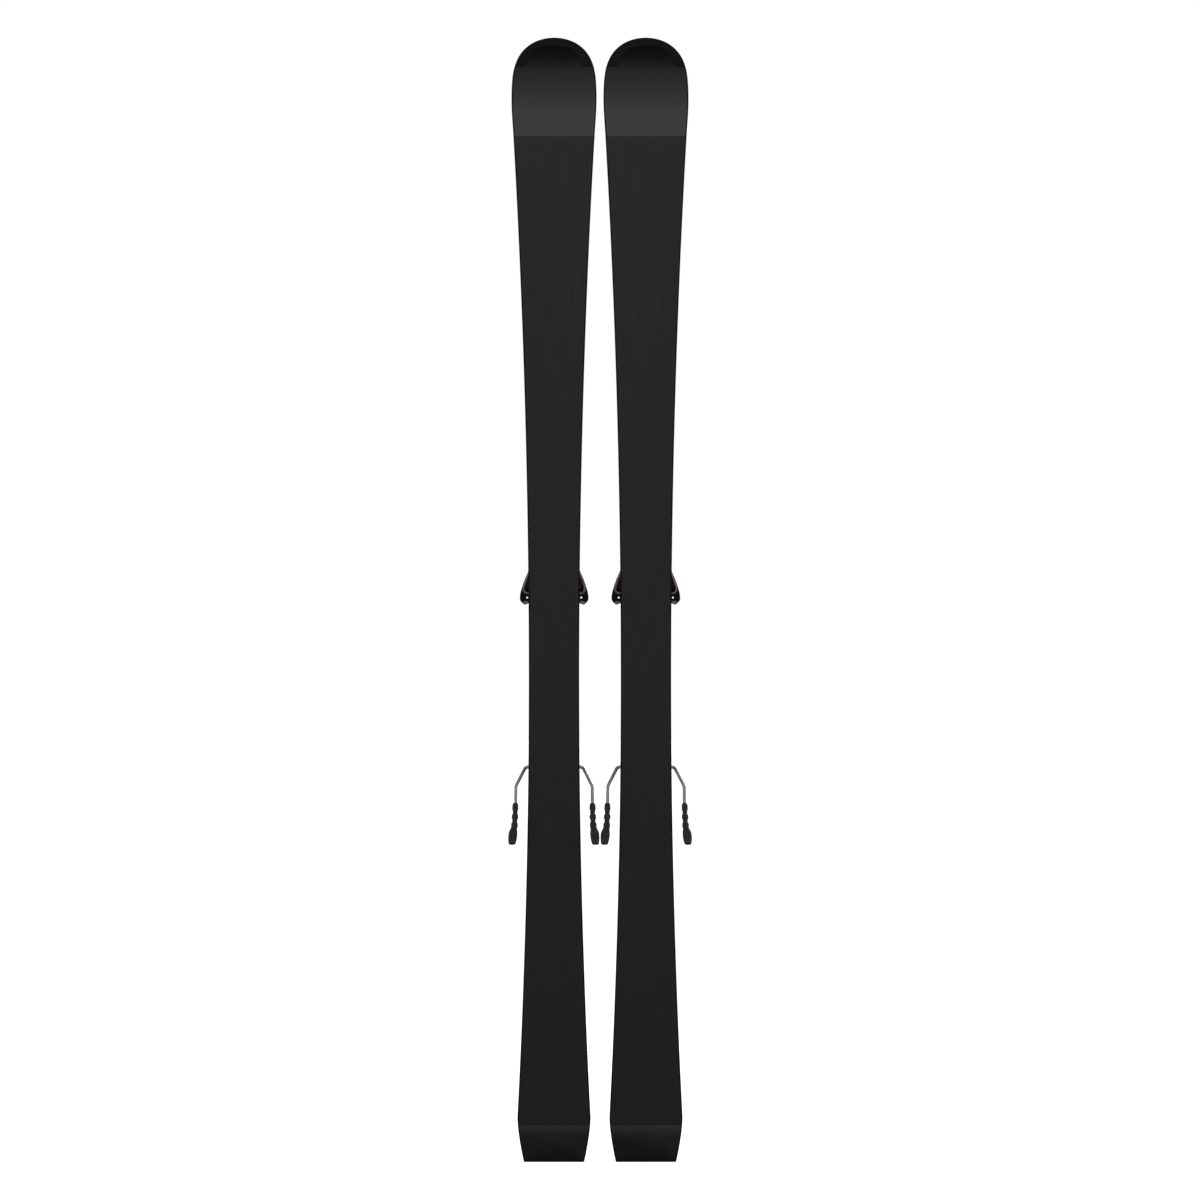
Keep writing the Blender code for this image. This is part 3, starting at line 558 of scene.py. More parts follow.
def half_width(y):
    """Half the ski's width at y: a sidecut on each side of the waist, a round nose and a cut-in tail."""
    if y < WAIST_AT:
        half = WAIST_HALF + REAR_FLARE * ((WAIST_AT - y) / REAR_REACH) ** 2
    else:
        half = WAIST_HALF + FRONT_FLARE * ((y - WAIST_AT) / FRONT_REACH) ** 2
    if y < TAIL_TAPER_LENGTH:
        half -= TAIL_TAPER * (1 - y / TAIL_TAPER_LENGTH) ** TAIL_TAPER_POWER
    u = min(1.0, max(0.0, (y - NOSE_START) / (LENGTH - NOSE_START)))
    nose = NOSE_HALF * math.sqrt(1 - u**NOSE_POWER)
    share = smooth(y, *NOSE_BLEND)
    return half * (1 - share) + nose * share


def base_height(y):
    """Height of the base at y: camber between the contact points, the shovel and the tail kick."""
    if y > TIP_CONTACT:
        return TIP_RISE * ((y - TIP_CONTACT) / (LENGTH - TIP_CONTACT)) ** 2
    if y < TAIL_CONTACT:
        return TAIL_RISE * ((TAIL_CONTACT - y) / TAIL_CONTACT) ** 2
    middle = (TAIL_CONTACT + TIP_CONTACT) / 2
    s = (y - middle) / (TIP_CONTACT - middle)
    return CAMBER * (1 - s * s) ** 2


def thickness(y):
    low, high = THICK_REGION
    rear = THICK_TAIL + (THICK_WAIST - THICK_TAIL) * smooth(y, 0.0, low)
    front = THICK_TIP + (THICK_WAIST - THICK_TIP) * (1 - smooth(y, high, LENGTH))
    return rear if y < low else front


def stations():
    """Where the ski's sections are taken: closely over the turned-up ends, every 20 mm between."""
    spans = ((TAIL_CAP + 0.05, TAIL_CONTACT, 17), (TAIL_CONTACT, TAIL_TAPER_LENGTH, 4),
             (TAIL_TAPER_LENGTH, GROUND_END, 71), (GROUND_END, CAP_LEGS_AT, 36))
    inner = [low + (high - low) * i / count for low, high, count in spans for i in range(count)]
    return inner + [CAP_LEGS_AT]


def arch_point(turn):
    """A point (x, y) of the cap's inner edge: a flat-topped arch between its two legs."""
    return ARCH_HALF * math.cos(turn), CAP_LEGS_AT + ARCH_RISE * (1 - math.cos(turn) ** 4)


# Sections across the ski at y, as (x, height above the base); those of edges and sidewalls are of one side


def base_section(y, half):
    return [(-half, 0.0), (half, 0.0), (half, BASE_THICK), (-half, BASE_THICK)]


def top_section(y, half):
    high = thickness(y)
    low = high - TOP_THICK
    return [(-half, low), (half, low), (half - 0.5, high - 0.2), (half - 1.2, high),
            (1.2 - half, high), (0.5 - half, high - 0.2)]


def edge_section(y, half):
    """The edge's head, and the flange that runs in under the sidewall."""
    return [(half - EDGE_HEAD, 0.0), (half - 0.25, 0.0), (half, 0.25), (half, EDGE_HIGH),
            (half - FLANGE, EDGE_HIGH), (half - FLANGE, FLANGE_LOW), (half - EDGE_HEAD, FLANGE_LOW)]


def wall_section(y, half):
    high = thickness(y) - TOP_THICK
    return [(half - 0.35, EDGE_HIGH), (half - 0.35, 2.8), (half - SIDE_SLOPE, high - 0.4),
            (half - SIDE_SLOPE - 0.3, high), (half - SIDE_WIDTH, high), (half - SIDE_WIDTH, EDGE_HIGH)]


def strip(section, sign):
    """A layer along one side, from cap to cap."""
    rings = []
    for y in stations():
        rings.append([(sign * x, y, base_height(y) + z) for x, z in section(y, half_width(y))])
    return loft(rings)


def full_layer(inset, section):
    """A layer across the whole ski that goes on inside the cap's arch."""
    outline = [(half_width(y) - inset, y) for y in stations()]
    outline += [arch_point(math.pi / 2 * i / ARCH_STEPS) for i in range(ARCH_STEPS)]
    return loft([[(x, y, base_height(y) + z) for x, z in section(y, half)] for half, y in outline])


def plain(bm):
    """The mesh of a shape that needs no cuts."""
    return Shape(bm).take()


def build_ski():
    """Base, edges, sidewalls, topsheet and the two end caps."""
    ground = plain(full_layer(EDGE_HEAD, base_section))
    for face in ground.polygons:
        face.material_index = int(not TAIL_CONTACT < face.center.y < GROUND_END)
    settle("base_ground", ground, "ski", "base_black", ["ski_base"],
           materials=[MATERIALS["base_black"], SMOOTH_BASE])
    sheet = plain(full_layer(SIDE_SLOPE + 0.3, top_section))
    settle("topsheet_lacquered", sheet, "ski", "topsheet_black", ["ski_topsheet"])
    for sign in (-1, 1):
        steel_edge = plain(strip(edge_section, sign))
        settle("edge_ground_{side}", steel_edge, "ski", "edge_steel", ["edge_{side}"], sign,
               [MATERIALS["edge_steel"], EDGE_SIDE])
        # The base face takes the near-black steel, a painted dark reflection; the side faces take the
        # lighter edge_side steel.
        for face in steel_edge.polygons:
            face.material_index = int(abs(face.normal.x) > 0.9)
        settle("sidewall_milled_{side}", plain(strip(wall_section, sign)), "ski", "sidewall_black",
               ["sidewall_{side}"], sign)
    build_end_caps()


def build_end_caps():
    """A crescent moulded round the tip and a bar across the tail."""
    start = math.asin(((CAP_LEGS_AT - NOSE_START) / (LENGTH - NOSE_START)) ** (NOSE_POWER / 2))
    steps = 2 * ARCH_STEPS
    rings = []
    for i in range(steps + 1):
        turn = start + (math.pi - 2 * start) * i / steps
        outer_y = NOSE_START + (LENGTH - NOSE_START) * math.sin(turn) ** (2 / NOSE_POWER)
        outer = Vector((NOSE_HALF * math.cos(turn), outer_y))
        inner = Vector(arch_point(math.pi * i / steps))
        inward = (inner - outer).normalized()
        ring = []
        for reach, rise in ((0.0, 0.5), (0.5, 0.05)):
            x, y = outer + inward * reach
            ring.append((x, y, base_height(y) + rise))
        ring.append((*inner, base_height(inner.y)))
        ring.append((*inner, base_height(inner.y) + thickness(inner.y) + CAP_RISE))
        for reach, rise in ((2.6, CAP_RISE), (0.9, 0.25), (0.25, -0.6), (0.0, -1.7)):
            x, y = outer + inward * reach
            ring.append((x, y, base_height(y) + thickness(y) + rise))
        rings.append(ring)
    settle("tip_cap_moulded", plain(loft(rings)), "ski", "cap_black", ["tip_cap"])
    rings = []
    for y, inset in ((0.0, 1.1), (0.25, 0.5), (0.9, 0.05), (TAIL_CAP, 0.0)):
        half, foot = half_width(y) - inset, base_height(y)
        low, high = foot + inset / 2, foot + thickness(y) + CAP_RISE - inset / 2
        rings.append([(-half, y, low), (half, y, low), (half, y, high - 2.2), (half - 2.2, y, high),
                      (2.2 - half, y, high), (-half, y, high - 2.2)])
    settle("tail_cap_moulded", plain(loft(rings)), "ski", "cap_black", ["tail_cap"])


# ---------------------------------------------------------------- toe piece


def track_grips(start, end):
    """The two side rails that grip a track."""
    shapes = []
    for sign in (-1, 1):
        outline = [
            (TRACK_HALF + 3.6, TRACK_TOP + 1.2),
            (TRACK_HALF + 3.6, TRACK_TOP - 4.6),
            (TRACK_FOOT_HALF + 0.6, TRACK_TOP - 4.6),
            (TRACK_FOOT_HALF + 0.6, TRACK_TOP - 3.3),
            (TRACK_HALF + 0.4, TRACK_TOP - 3.3),
            (TRACK_HALF + 0.4, TRACK_TOP + 1.2),
        ]
        shapes.append(loft([[(sign * x, y, z) for x, z in outline] for y in (start, end)]))
    return shapes


def barrel_ring(y, half, top):
    """A section of the toe housing: straight below, and a smooth flattened arch above."""
    low, shoulder = PLATE_TOP - 1.0, PLATE_TOP + 3.0
    ring = [(half, y, low)]
    steps = 22
    for i in range(steps + 1):
        across, up = squared(math.pi * i / steps, BARREL_SQUARENESS)
        ring.append((half * across, y, shoulder + (top - shoulder) * up))
    return ring + [(-half, y, low)]


def screw_heads(places, radius):
    """Rounded heads with a cross recess, at (x, y, height) places."""
    heads = []
    for x, y, z in places:
        top = z + 0.9
        head = Shape(cylinder((x, y, z - 1.0), (x, y, top), radius, 28)).round(0.45, 2)
        long, short = radius * 0.62, 0.55
        head.cut(box((x - long, y - short, top - 1.1), (x + long, y + short, top + 1)))
        head.cut(box((x - short, y - long, top - 1.1), (x + short, y + long, top + 1)))
        heads.append(head.hand_on())
    return together(heads)


def build_toe_body():
    """The toe housing: a plate on the track, a spring barrel in front and the wing's pivot post."""
    plan = mirrored([(0, 938), (14, 937), (22, 932), (27, 920), (31.6, 895), (31.6, 794)])
    body = Shape(prism(plan, TRACK_TOP + 0.3, PLATE_TOP - 2.8, "z"))
    body.join(*track_grips(800.0, 920.0))
    deck = mirrored([(0, 938), (14, 937), (22, 932), (27, 920), (30, 895), (30, 848)])
    body.join(prism(deck, PLATE_TOP - 3.4, PLATE_TOP + 2.0, "z")).round(0.9)
    profile = [(888.6, 22.5, 57.5), (889.6, 24.6, 60.4), (891.4, 25.8, 61.8), (896, 26.2, 62.4),
               (904, 26.0, 62.3), (912, 24.9, 61.5), (919, 22.8, 60.2), (925, 20.2, 58.3),
               (930, 17.2, 56.0), (933, 14.6, 54.0), (934.6, 12.2, 52.0)]
    body.join(loft([barrel_ring(*section) for section in profile]))
    hub = cylinder((0, TOE_PIVOT, PLATE_TOP), (0, TOE_PIVOT, WING_BOTTOM - 0.3), 13.0)
    post = cylinder((0, TOE_PIVOT, PLATE_TOP), (0, TOE_PIVOT, WING_TOP), 7.0)
    body.join(hub, post)
    body.cut(cylinder((0, 885, BARREL_AXIS), (0, 921, BARREL_AXIS), SPRING_BORE))
    body.cut(rounded(box((-4.8, 901.5, 48), (4.8, 916.5, 75)), 1.8))
    body.cut(cylinder((0, 917, BARREL_AXIS), (0, 942, BARREL_AXIS), SCREW_BORE))
    for sign in (-1, 1):
        for y in (897.0, 901.5, 906.0, 910.5):
            body.cut(box((sign * 22, y - 0.8, 40.0), (sign * 34, y + 0.8, 53.0)))
    body.round(0.3, 2, 40.0)
    settle("toe_housing", body.take(), "ski", "binding_black", ["toe_body"])

    foot, crown = (0, TOE_PIVOT, WING_TOP + 0.15), (0, TOE_PIVOT, WING_TOP + 2.6)
    cap = Shape(cylinder(foot, crown, 10.0)).round(1.0)
    for i in range(3):
        turn = math.pi * i / 3
        reach = Vector((math.cos(turn), math.sin(turn), 0)) * 3.9
        side = Vector((-math.sin(turn), math.cos(turn), 0)) * 1.15
        outline = [reach + side, side - reach, -reach - side, reach - side]
        outline = [(p.x, p.y + TOE_PIVOT) for p in outline]
        cap.cut(prism(outline, WING_TOP + 1.0, WING_TOP + 5, "z"))
    settle("toe_post_cap", cap.take(), "ski", "bright_steel")

    bezel = Shape(cylinder((0, BARREL_FRONT, BARREL_AXIS), (0, 935.6, BARREL_AXIS), 9.4)).round(0.8)
    bezel.cut(cylinder((0, 925, BARREL_AXIS), (0, 940, BARREL_AXIS), SCREW_BORE))
    settle("toe_screw_bezel", bezel.take(), "ski", "lever_grey")

    ticks = []
    for i in range(6):
        y = 903.0 + 2.4 * i
        long = 2.6 if i % 5 == 0 else 1.6
        for sign in (-1, 1):
            low, high = sorted((sign * 5.8, sign * (5.8 + long)))
            ticks.append(box((low, y - 0.3, 60.4), (high, y + 0.3, 62.4 - 0.12 * i)))
    settle("toe_scale_ticks", plain(together(ticks)), "ski", "glide_plate", materials=[TICK_WHITE])

    places = [(sign * x, y, PLATE_TOP + 1.2) for x, y in ((23.5, 858), (24.5, 884)) for sign in (-1, 1)]
    settle("toe_deck_screws", plain(screw_heads(places, 3.6)), "ski", "bright_steel")


def build_toe_wing():
    """The yoke that holds the boot's toe, with a grey bead and a red insert under each wing; the bead's
    grey is a painted highlight on the rim.
    """
    outer = [(18, 881), (25, 876), (31.5, 867.5), (37.4, 855.4), (40.8, 847.7), (43.2, 841.9),
             (45.2, 836.1), (47.1, 830.3), (48.8, 824.5), (49.7, 819), (49.9, 815.8), (49.5, 812.6),
             (47.6, 809.9), (44.2, 806.8), (42.2, 806.0), (38.5, 807.6)]
    inner = [(34.2, 809), (33.0, 820), (29.5, 832), (21, 841.5), (10, 846), (0, 847.5)]
    plan = mirrored([(0, 887.5), (10, 885.2)] + outer + inner)
    yoke = Shape(prism(plan, WING_BOTTOM, WING_TOP, "z"))
    yoke.cut(prism([(900, 49), (900, 70), (800, 70), (800, 63), (845, 60)], -60, 60))
    shelf = [(0, 851), (12, 850), (23, 846), (32, 837), (36.5, 824), (37, 811), (37, 780), (0, 780)]
    yoke.cut(prism(mirrored(shelf), WING_BOTTOM - 5, LUG_TOP, "z")).round(0.9)
    for sign in (-1, 1):
        x, y = sign * WING_HOLE[0], WING_HOLE[1]
        yoke.cut(cylinder((x, y, 20), (x, y, 80), 1.35, 28))
        pocket = [(33, 824.6), (40, 824.6), (42.2, 826.2), (42.8, 830), (41.2, 835), (37.2, 847),
                  (33, 849)]
        yoke.cut(prism([(sign * x, y) for x, y in pocket], WING_BOTTOM - 4, 49.5, "z"))
    yoke.cut(cylinder((0, TOE_PIVOT, 20), (0, TOE_PIVOT, 80), 7.3))
    yoke.round(0.25, 2, 40.0)
    settle("toe_yoke", yoke.take(), "toe_wing", "wing_black", ["toe_wing"])

    beads, inserts = [], []
    for sign in (-1, 1):
        line = [(36.6, 852.5), (38.6, 848), (40.6, 842), (42.8, 836), (44.4, 830.3), (44.0, 826.0),
                (41.8, 823.4), (38.5, 822.6), (35.5, 822.8)]
        beads.append(tube(eased([(sign * x, y, WING_BOTTOM + 0.5) for x, y in line], 4.0), 1.5))
        heel = [(37.6, 811.2), (43.8, 811.2), (44.8, 809.2), (42.6, 807.0), (38.4, 808.2)]
        beads.append(prism([(sign * x, y) for x, y in heel], WING_BOTTOM - 0.5, WING_BOTTOM + 1.0, "z"))
        pad = [(34.5, 830), (41.2, 830), (41.4, 833), (39.8, 839.5), (37.8, 845), (34.5, 845.5)]
        inserts.append(prism([(sign * x, y) for x, y in pad], 42.0, 48.0, "z"))
    # The grey beads and pads carry a painted highlight: light caught on the wing's black rim and facet.
    settle("toe_wing_beads_painted_highlight", plain(together(beads)), "toe_wing", "wing_black", materials=[BEAD_GREY_PAINTED_HIGHLIGHT])
    insert = Shape(together(inserts)).round(0.8)
    settle("toe_wing_inserts", insert.take(), "toe_wing", "wing_black", materials=[INSERT_RED])


def screw(name, start, end, z, radius, body, turn=None):
    """An adjusting screw along y, with a rounded rim and a slot across its head."""
    made = Shape(cylinder((0, start, z), (0, end, z), radius)).round(0.6)
    made.cut(box((-radius * 0.8, end - 1.6, z - 0.8), (radius * 0.8, end + 1.6, z + 0.8)))
    if body == "toe_screw":
        made.join(cylinder((0, 896, z), (0, start + 2, z), 3.0, 24))
    settle(name, made.take(), body, "bright_steel", [body], turn=turn)


def build_toe():
    build_toe_body()
    build_toe_wing()
    screw("toe_screw_turned", 919.0, 934.5, BARREL_AXIS, 6.2, "toe_screw")
    slab = Shape(box((-29, 803, PLATE_TOP - 2.5), (29, 843, 31.5))).round(0.8)
    for y in range(809, 841, 4):
        slab.cut(cylinder((-25, y, 31.7), (25, y, 31.7), 0.75, 16))
    settle("glide_plate_ribbed", slab.take(), "glide_plate", "glide_plate", ["glide_plate"])
    spring = plain(coil(BARREL_REAR + 2.4, BARREL_AXIS, 10.0, 3))
    settle("toe_spring_coiled", spring, "ski", "spring_steel", ["toe_spring"])


# ---------------------------------------------------------------- heel piece


def from_pin(outline):
    """Moves (y, z) points measured from the heel pin into ski coordinates."""
    return [(HEEL_PIN[0] + y, HEEL_PIN[1] + z) for y, z in outline]


def build_carriage():
    """The heel's sled: a plate on the track and the column that carries the pin."""
    plan = mirrored([(0, 548), (31.6, 548), (31.6, 470), (27, 450), (20, 447), (20, 436), (16, 434),
                     (16, 449.5), (0, 449.5)])
    sled = Shape(prism(plan, TRACK_TOP + 0.3, PLATE_TOP, "z"))
    sled.join(*track_grips(455.0, 545.0)).round(0.8)
    y, z = HEEL_PIN
    column = [(y - 16, PLATE_TOP - 2), (y - 9, z + 2)] + arc(HEEL_PIN, 9.0, 165, 15, 16)
    column += [(y + 9, z + 2), (y + 18, PLATE_TOP - 2)]
    sled.join(prism(column, -10.0, 10.0))
    sled.cut(cylinder((-40, y, z), (40, y, z), PIN_BORE, 28))
    for sign in (-1, 1):
        for start in (468.0, 484.0, 526.0):
            low, high = sorted((sign * 14, sign * 26))
            sled.cut(box((low, start, PLATE_TOP - 1.4), (high, start + 9, PLATE_TOP + 2)))
    settle("heel_sled", sled.round(0.25, 2, 40.0).take(), "carriage", "binding_black", ["heel_carriage"])
    places = [(sign * 20, place, PLATE_TOP - 0.4) for place in (461.0, 540.5) for sign in (-1, 1)]
    settle("heel_sled_screws", plain(screw_heads(places, 3.2)), "carriage", "bright_steel")


def build_heel_housing():
    """The heel cup and its spring housing, drawn closed and turned open about the pin."""
    turn = about(HEEL_OPEN, *HEEL_PIN)
    y, z = HEEL_PIN
    outline = [(0, -14), (10, -13.5), (30, -11), (33, -7), (33, 18), (37, 19.2), (48, 21), (51, 26),
               (49, 33), (38, 43), (22, 48), (5, 50), (-20, 49), (-36, 46), (-46, 39), (-49, 30),
               (-45, 18), (-30, 10), (-17, 5), (-13.2, -4), (-9.5, -10.5)]
    shell = Shape(prism(from_pin(outline), -HEEL_HALF, HEEL_HALF))
    for sign in (-1, 1):
        taper = [(sign * 25.5, z + 54), (sign * 31.5, z + 26), (sign * 40, z + 26), (sign * 40, z + 54)]
        shell.cut(loft([[(x, at, up) for x, up in taper] for at in (y - 70, y + 70)]))
    shell.round(3.2, 4, 22.0)
    shell.cut(box((-11, y - 24, z - 30), (11, y + 45, z + 17)))
    shell.cut(cylinder((-40, y, z), (40, y, z), PIN_BORE, 28))
    shell.cut(cylinder((0, y - 60, z + HEEL_BORE_Z), (0, y + 14, z + HEEL_BORE_Z), SPRING_BORE))
    ly, lz = y + LEVER_HINGE[0], z + LEVER_HINGE[1]
    shell.cut(cylinder((-22.5, ly, lz), (22.5, ly, lz), 4.6))
    cup = [(x, y + 60 - across) for across, x in arc((0, 0), 36.0, -60, 60, 32)]
    shell.cut(prism(cup + [(40, y + 80), (-40, y + 80)], z - 9, z + 18.5, "z"))
    window = [(y - 41, z + 44), (y - 27, z + 44), (y - 27, z + 60), (y - 41, z + 60)]
    shell.cut(prism(window, -4.6, 4.6))
    for sign in (-1, 1):
        panel = from_pin([(-38, 22), (-32, 15), (-8, 9), (10, 12), (22, 24), (20, 36), (4, 41),
                          (-26, 40), (-38, 33)])
        low, high = sorted((sign * (HEEL_HALF - 1.0), sign * (HEEL_HALF + 3)))
        shell.cut(prism(panel, low, high))
        for i in range(5):
            at = y - 30 + 8.5 * i
            rib = [(at, z + 18), (at + 2.2, z + 18), (at + 6.8, z + 34), (at + 4.6, z + 34)]
            low, high = sorted((sign * (HEEL_HALF - 1.6), sign * (HEEL_HALF - 0.25)))
            shell.join(prism(rib, low, high))
    shell.round(0.35, 2, 40.0)
    settle("heel_shell", shell.take(), "heel_housing", "binding_black", ["heel_housing"], turn=turn)

    pads = []
    for i in range(5):
        at, up = y + 35.4 + 3.0 * i, z + 18.9 + 0.5 * i
        pads.append(box((-21 + i, at - 0.7, up - 1.0), (21 - i, at + 0.7, up + 0.35)))
    settle("heel_cup_grips", plain(together(pads)), "heel_housing", "binding_black", turn=turn)

    ticks = []
    for i in range(6):
        at = y - 39.2 + 2.1 * i
        ticks.append(box((-3.6, at, z + 42.4), (3.6, at + 0.5, z + 44.3)))
    settle("heel_scale_ticks", plain(together(ticks)), "heel_housing", "glide_plate",
           materials=[TICK_WHITE], turn=turn)
    for sign in (-1, 1):
        cap = Shape(cylinder((sign * 26.5, y, z), (sign * 30.9, y, z), 6.0)).round(0.8)
        cap.cut(cylinder((sign * 30.0, y, z), (sign * 33, y, z), 2.6, 6))
        settle("heel_pin_cap_{side}", cap.take(), "heel_housing", "bright_steel", sign=sign, turn=turn)
    screw("heel_screw_turned", y - 37, y - 48.2, z + HEEL_BORE_Z, 8.7, "heel_screw", turn)
    spring = plain(coil(y - 34, z + HEEL_BORE_Z, 44.0, 7))
    settle("heel_spring_coiled", spring, "heel_housing", "spring_steel", ["heel_spring"], turn=turn)


def build_lever():
    """The arm that a pole or a hand presses down to open the heel."""
    turn = about(HEEL_OPEN, *HEEL_PIN)
    outline = [(-2, 53.2), (-2, 57), (-14, 60.5), (-40, 67), (-66, 79), (-84, 88), (-91, 87), (-92, 82),
               (-84, 76), (-62, 62), (-50, 52), (-38, 48.5), (-24, 51.2)]
    arm = Shape(prism(from_pin(outline), -21.5, 21.5))
    y, z = HEEL_PIN
    for sign in (-1, 1):
        waist = [(sign * 21.6, y - 12), (sign * 17.5, y - 38), (sign * 17.0, y - 56),
                 (sign * 21.6, y - 74), (sign * 30, y - 74), (sign * 30, y - 12)]
        arm.cut(prism(waist, z + 40, z + 100, "z"))
    arm.round(1.9, 4, 24.0)
    hinge = (y + LEVER_HINGE[0], z + LEVER_HINGE[1])
    arm.join(cylinder((-20.5, *hinge), (20.5, *hinge), 4.0))
    floor, rim = from_pin([(-74, 79), (-78, 92)])
    arm.cut(cylinder((0, *floor), (0, *rim), 7.0, 40, 11.0))
    for i in range(5):
        at, up = y - 22 - 5.0 * i, z + 63.4 + 1.35 * i
        arm.cut(cylinder((-12, at, up), (12, at, up), 1.2, 16))
    hollow = from_pin([(-30, 49), (-44, 57), (-60, 67.5), (-58, 56), (-46, 45), (-30, 40)])
    arm.cut(prism(hollow, -13, 13))
    arm.round(0.3, 2, 40.0)
    settle("heel_lever_arm", arm.take(), "heel_lever", "lever_grey", ["heel_lever"], turn=turn)


def build_latch():
    """The tongue that locks the carriage into the track's rack."""
    y, z = LATCH_HINGE
    outline = [(y + 2, z - 2.4), (y + 2.2, z + 1.8), (y - 6, z + 3), (y - 26, z + 4.2), (y - 31, z + 2.6),
               (y - 28, z + 0.2), (y - 8, z - 2.6)]
    tongue = Shape(prism(outline, -14.5, 14.5)).round(0.7)
    for i in range(4):
        at, up = y - 13 - 4 * i, z + 4.0 + 0.24 * i
        tongue.cut(cylinder((-10, at, up), (10, at, up), 0.9, 16))
    settle("latch_tongue", tongue.take(), "length_latch", "lever_grey", ["length_latch"])


# ---------------------------------------------------------------- brake


def arm_point(x, y, sign):
    """A point of a lowered brake arm, which drops in a plane behind its pivot."""
    drop = (BRAKE_PIVOT[1] - y) * math.tan(BRAKE_DROP)
    return Vector((sign * x, y, BRAKE_PIVOT[2] + 1.8 - drop))


def claw_profile():
    """The claw's sections (x, y, half width, half depth): a knob, two rings and a flared paddle."""
    keys = [
        (55.7, 518.2, 3.2, 3.2), (55.7, 517.7, 3.9, 3.8), (55.8, 515.6, 4.4, 4.2), (55.8, 511.2, 4.5, 4.3),
        (55.9, 509.8, 3.7, 3.8), (56.0, 503.2, 3.5, 3.8), (56.1, 501.8, 4.7, 4.6), (56.2, 498.9, 4.8, 4.7),
        (56.3, 497.7, 3.7, 4.1), (56.6, 491.3, 3.8, 4.3), (56.7, 489.9, 4.9, 5.0), (56.9, 486.8, 4.9, 5.1),
        (57.1, 485.6, 4.3, 4.9), (57.7, 482.4, 5.0, 5.6), (58.5, 478.6, 6.1, 6.3), (58.9, 475.8, 6.6, 6.6),
        (59.3, 471.5, 6.5, 6.3), (59.7, 466.6, 5.9, 5.0), (59.9, 463.6, 5.2, 3.4), (60.0, 462.2, 4.4, 2.0),
    ]
    fine = []
    for near, far in zip(keys, keys[1:]):
        for i in range(3):
            t = i / 3
            fine.append(tuple(a + (b - a) * t for a, b in zip(near, far)))
    return fine + [keys[-1]]


def build_brake_arm(sign):
    """One brake arm: a bent wire with a crank under the pedal, and the plastic claw on its end."""
    px, py, pz = BRAKE_PIVOT
    lean = Vector((sign * math.cos(BRAKE_LEAN), 0, math.sin(BRAKE_LEAN)))
    hinge = Vector((sign * px, py, pz))
    inner, outer = hinge - lean * 9, hinge + lean * 11.6 - Vector((0, 1.4, 0))
    crank = inner + Vector((0, math.cos(CRANK_RISE), math.sin(CRANK_RISE))) * CRANK
    corners = [crank - Vector((sign * 9, 0, 0)), crank, inner, outer,
               arm_point(55.4, 543.5, sign), arm_point(55.6, 517.0, sign), arm_point(56.2, 506.0, sign)]
    wire = plain(tube(eased(corners, 4.5), WIRE_RADIUS))
    settle("brake_wire_drawn_{side}", wire, "brake_arm_{side}", "bright_steel", ["brake_wire_{side}"],
           sign, [WIRE_STEEL])

    up = Vector((0, -math.sin(BRAKE_DROP), math.cos(BRAKE_DROP)))
    steps = 28

    def ring(x, y, half, deep):
        """A section of the claw, square to the arm, with flattened sides."""
        at = arm_point(x, y, sign)
        points = []
        for i in range(steps):
            across, high = squared(2 * math.pi * i / steps, CLAW_SQUARENESS)
            points.append(at + Vector((half * across, 0, 0)) + up * (deep * high))
        return points

    claw = Shape(loft([ring(*section) for section in claw_profile()]))
    scoop = arm_point(59.2, 471.5, sign)
    for face in (-1, 1):
        start = scoop + up * (face * 9.4) + Vector((0, 6, 0))
        end = scoop + up * (face * 9.0) - Vector((0, 6, 0))
        claw.cut(cylinder(start, end, 3.9, 24))
    claw.round(0.3, 2, 50.0)
    settle("brake_claw_ringed_{side}", claw.take(), "brake_arm_{side}", "wing_black",
           ["brake_claw_{side}"], sign, [CLAW_BLACK])


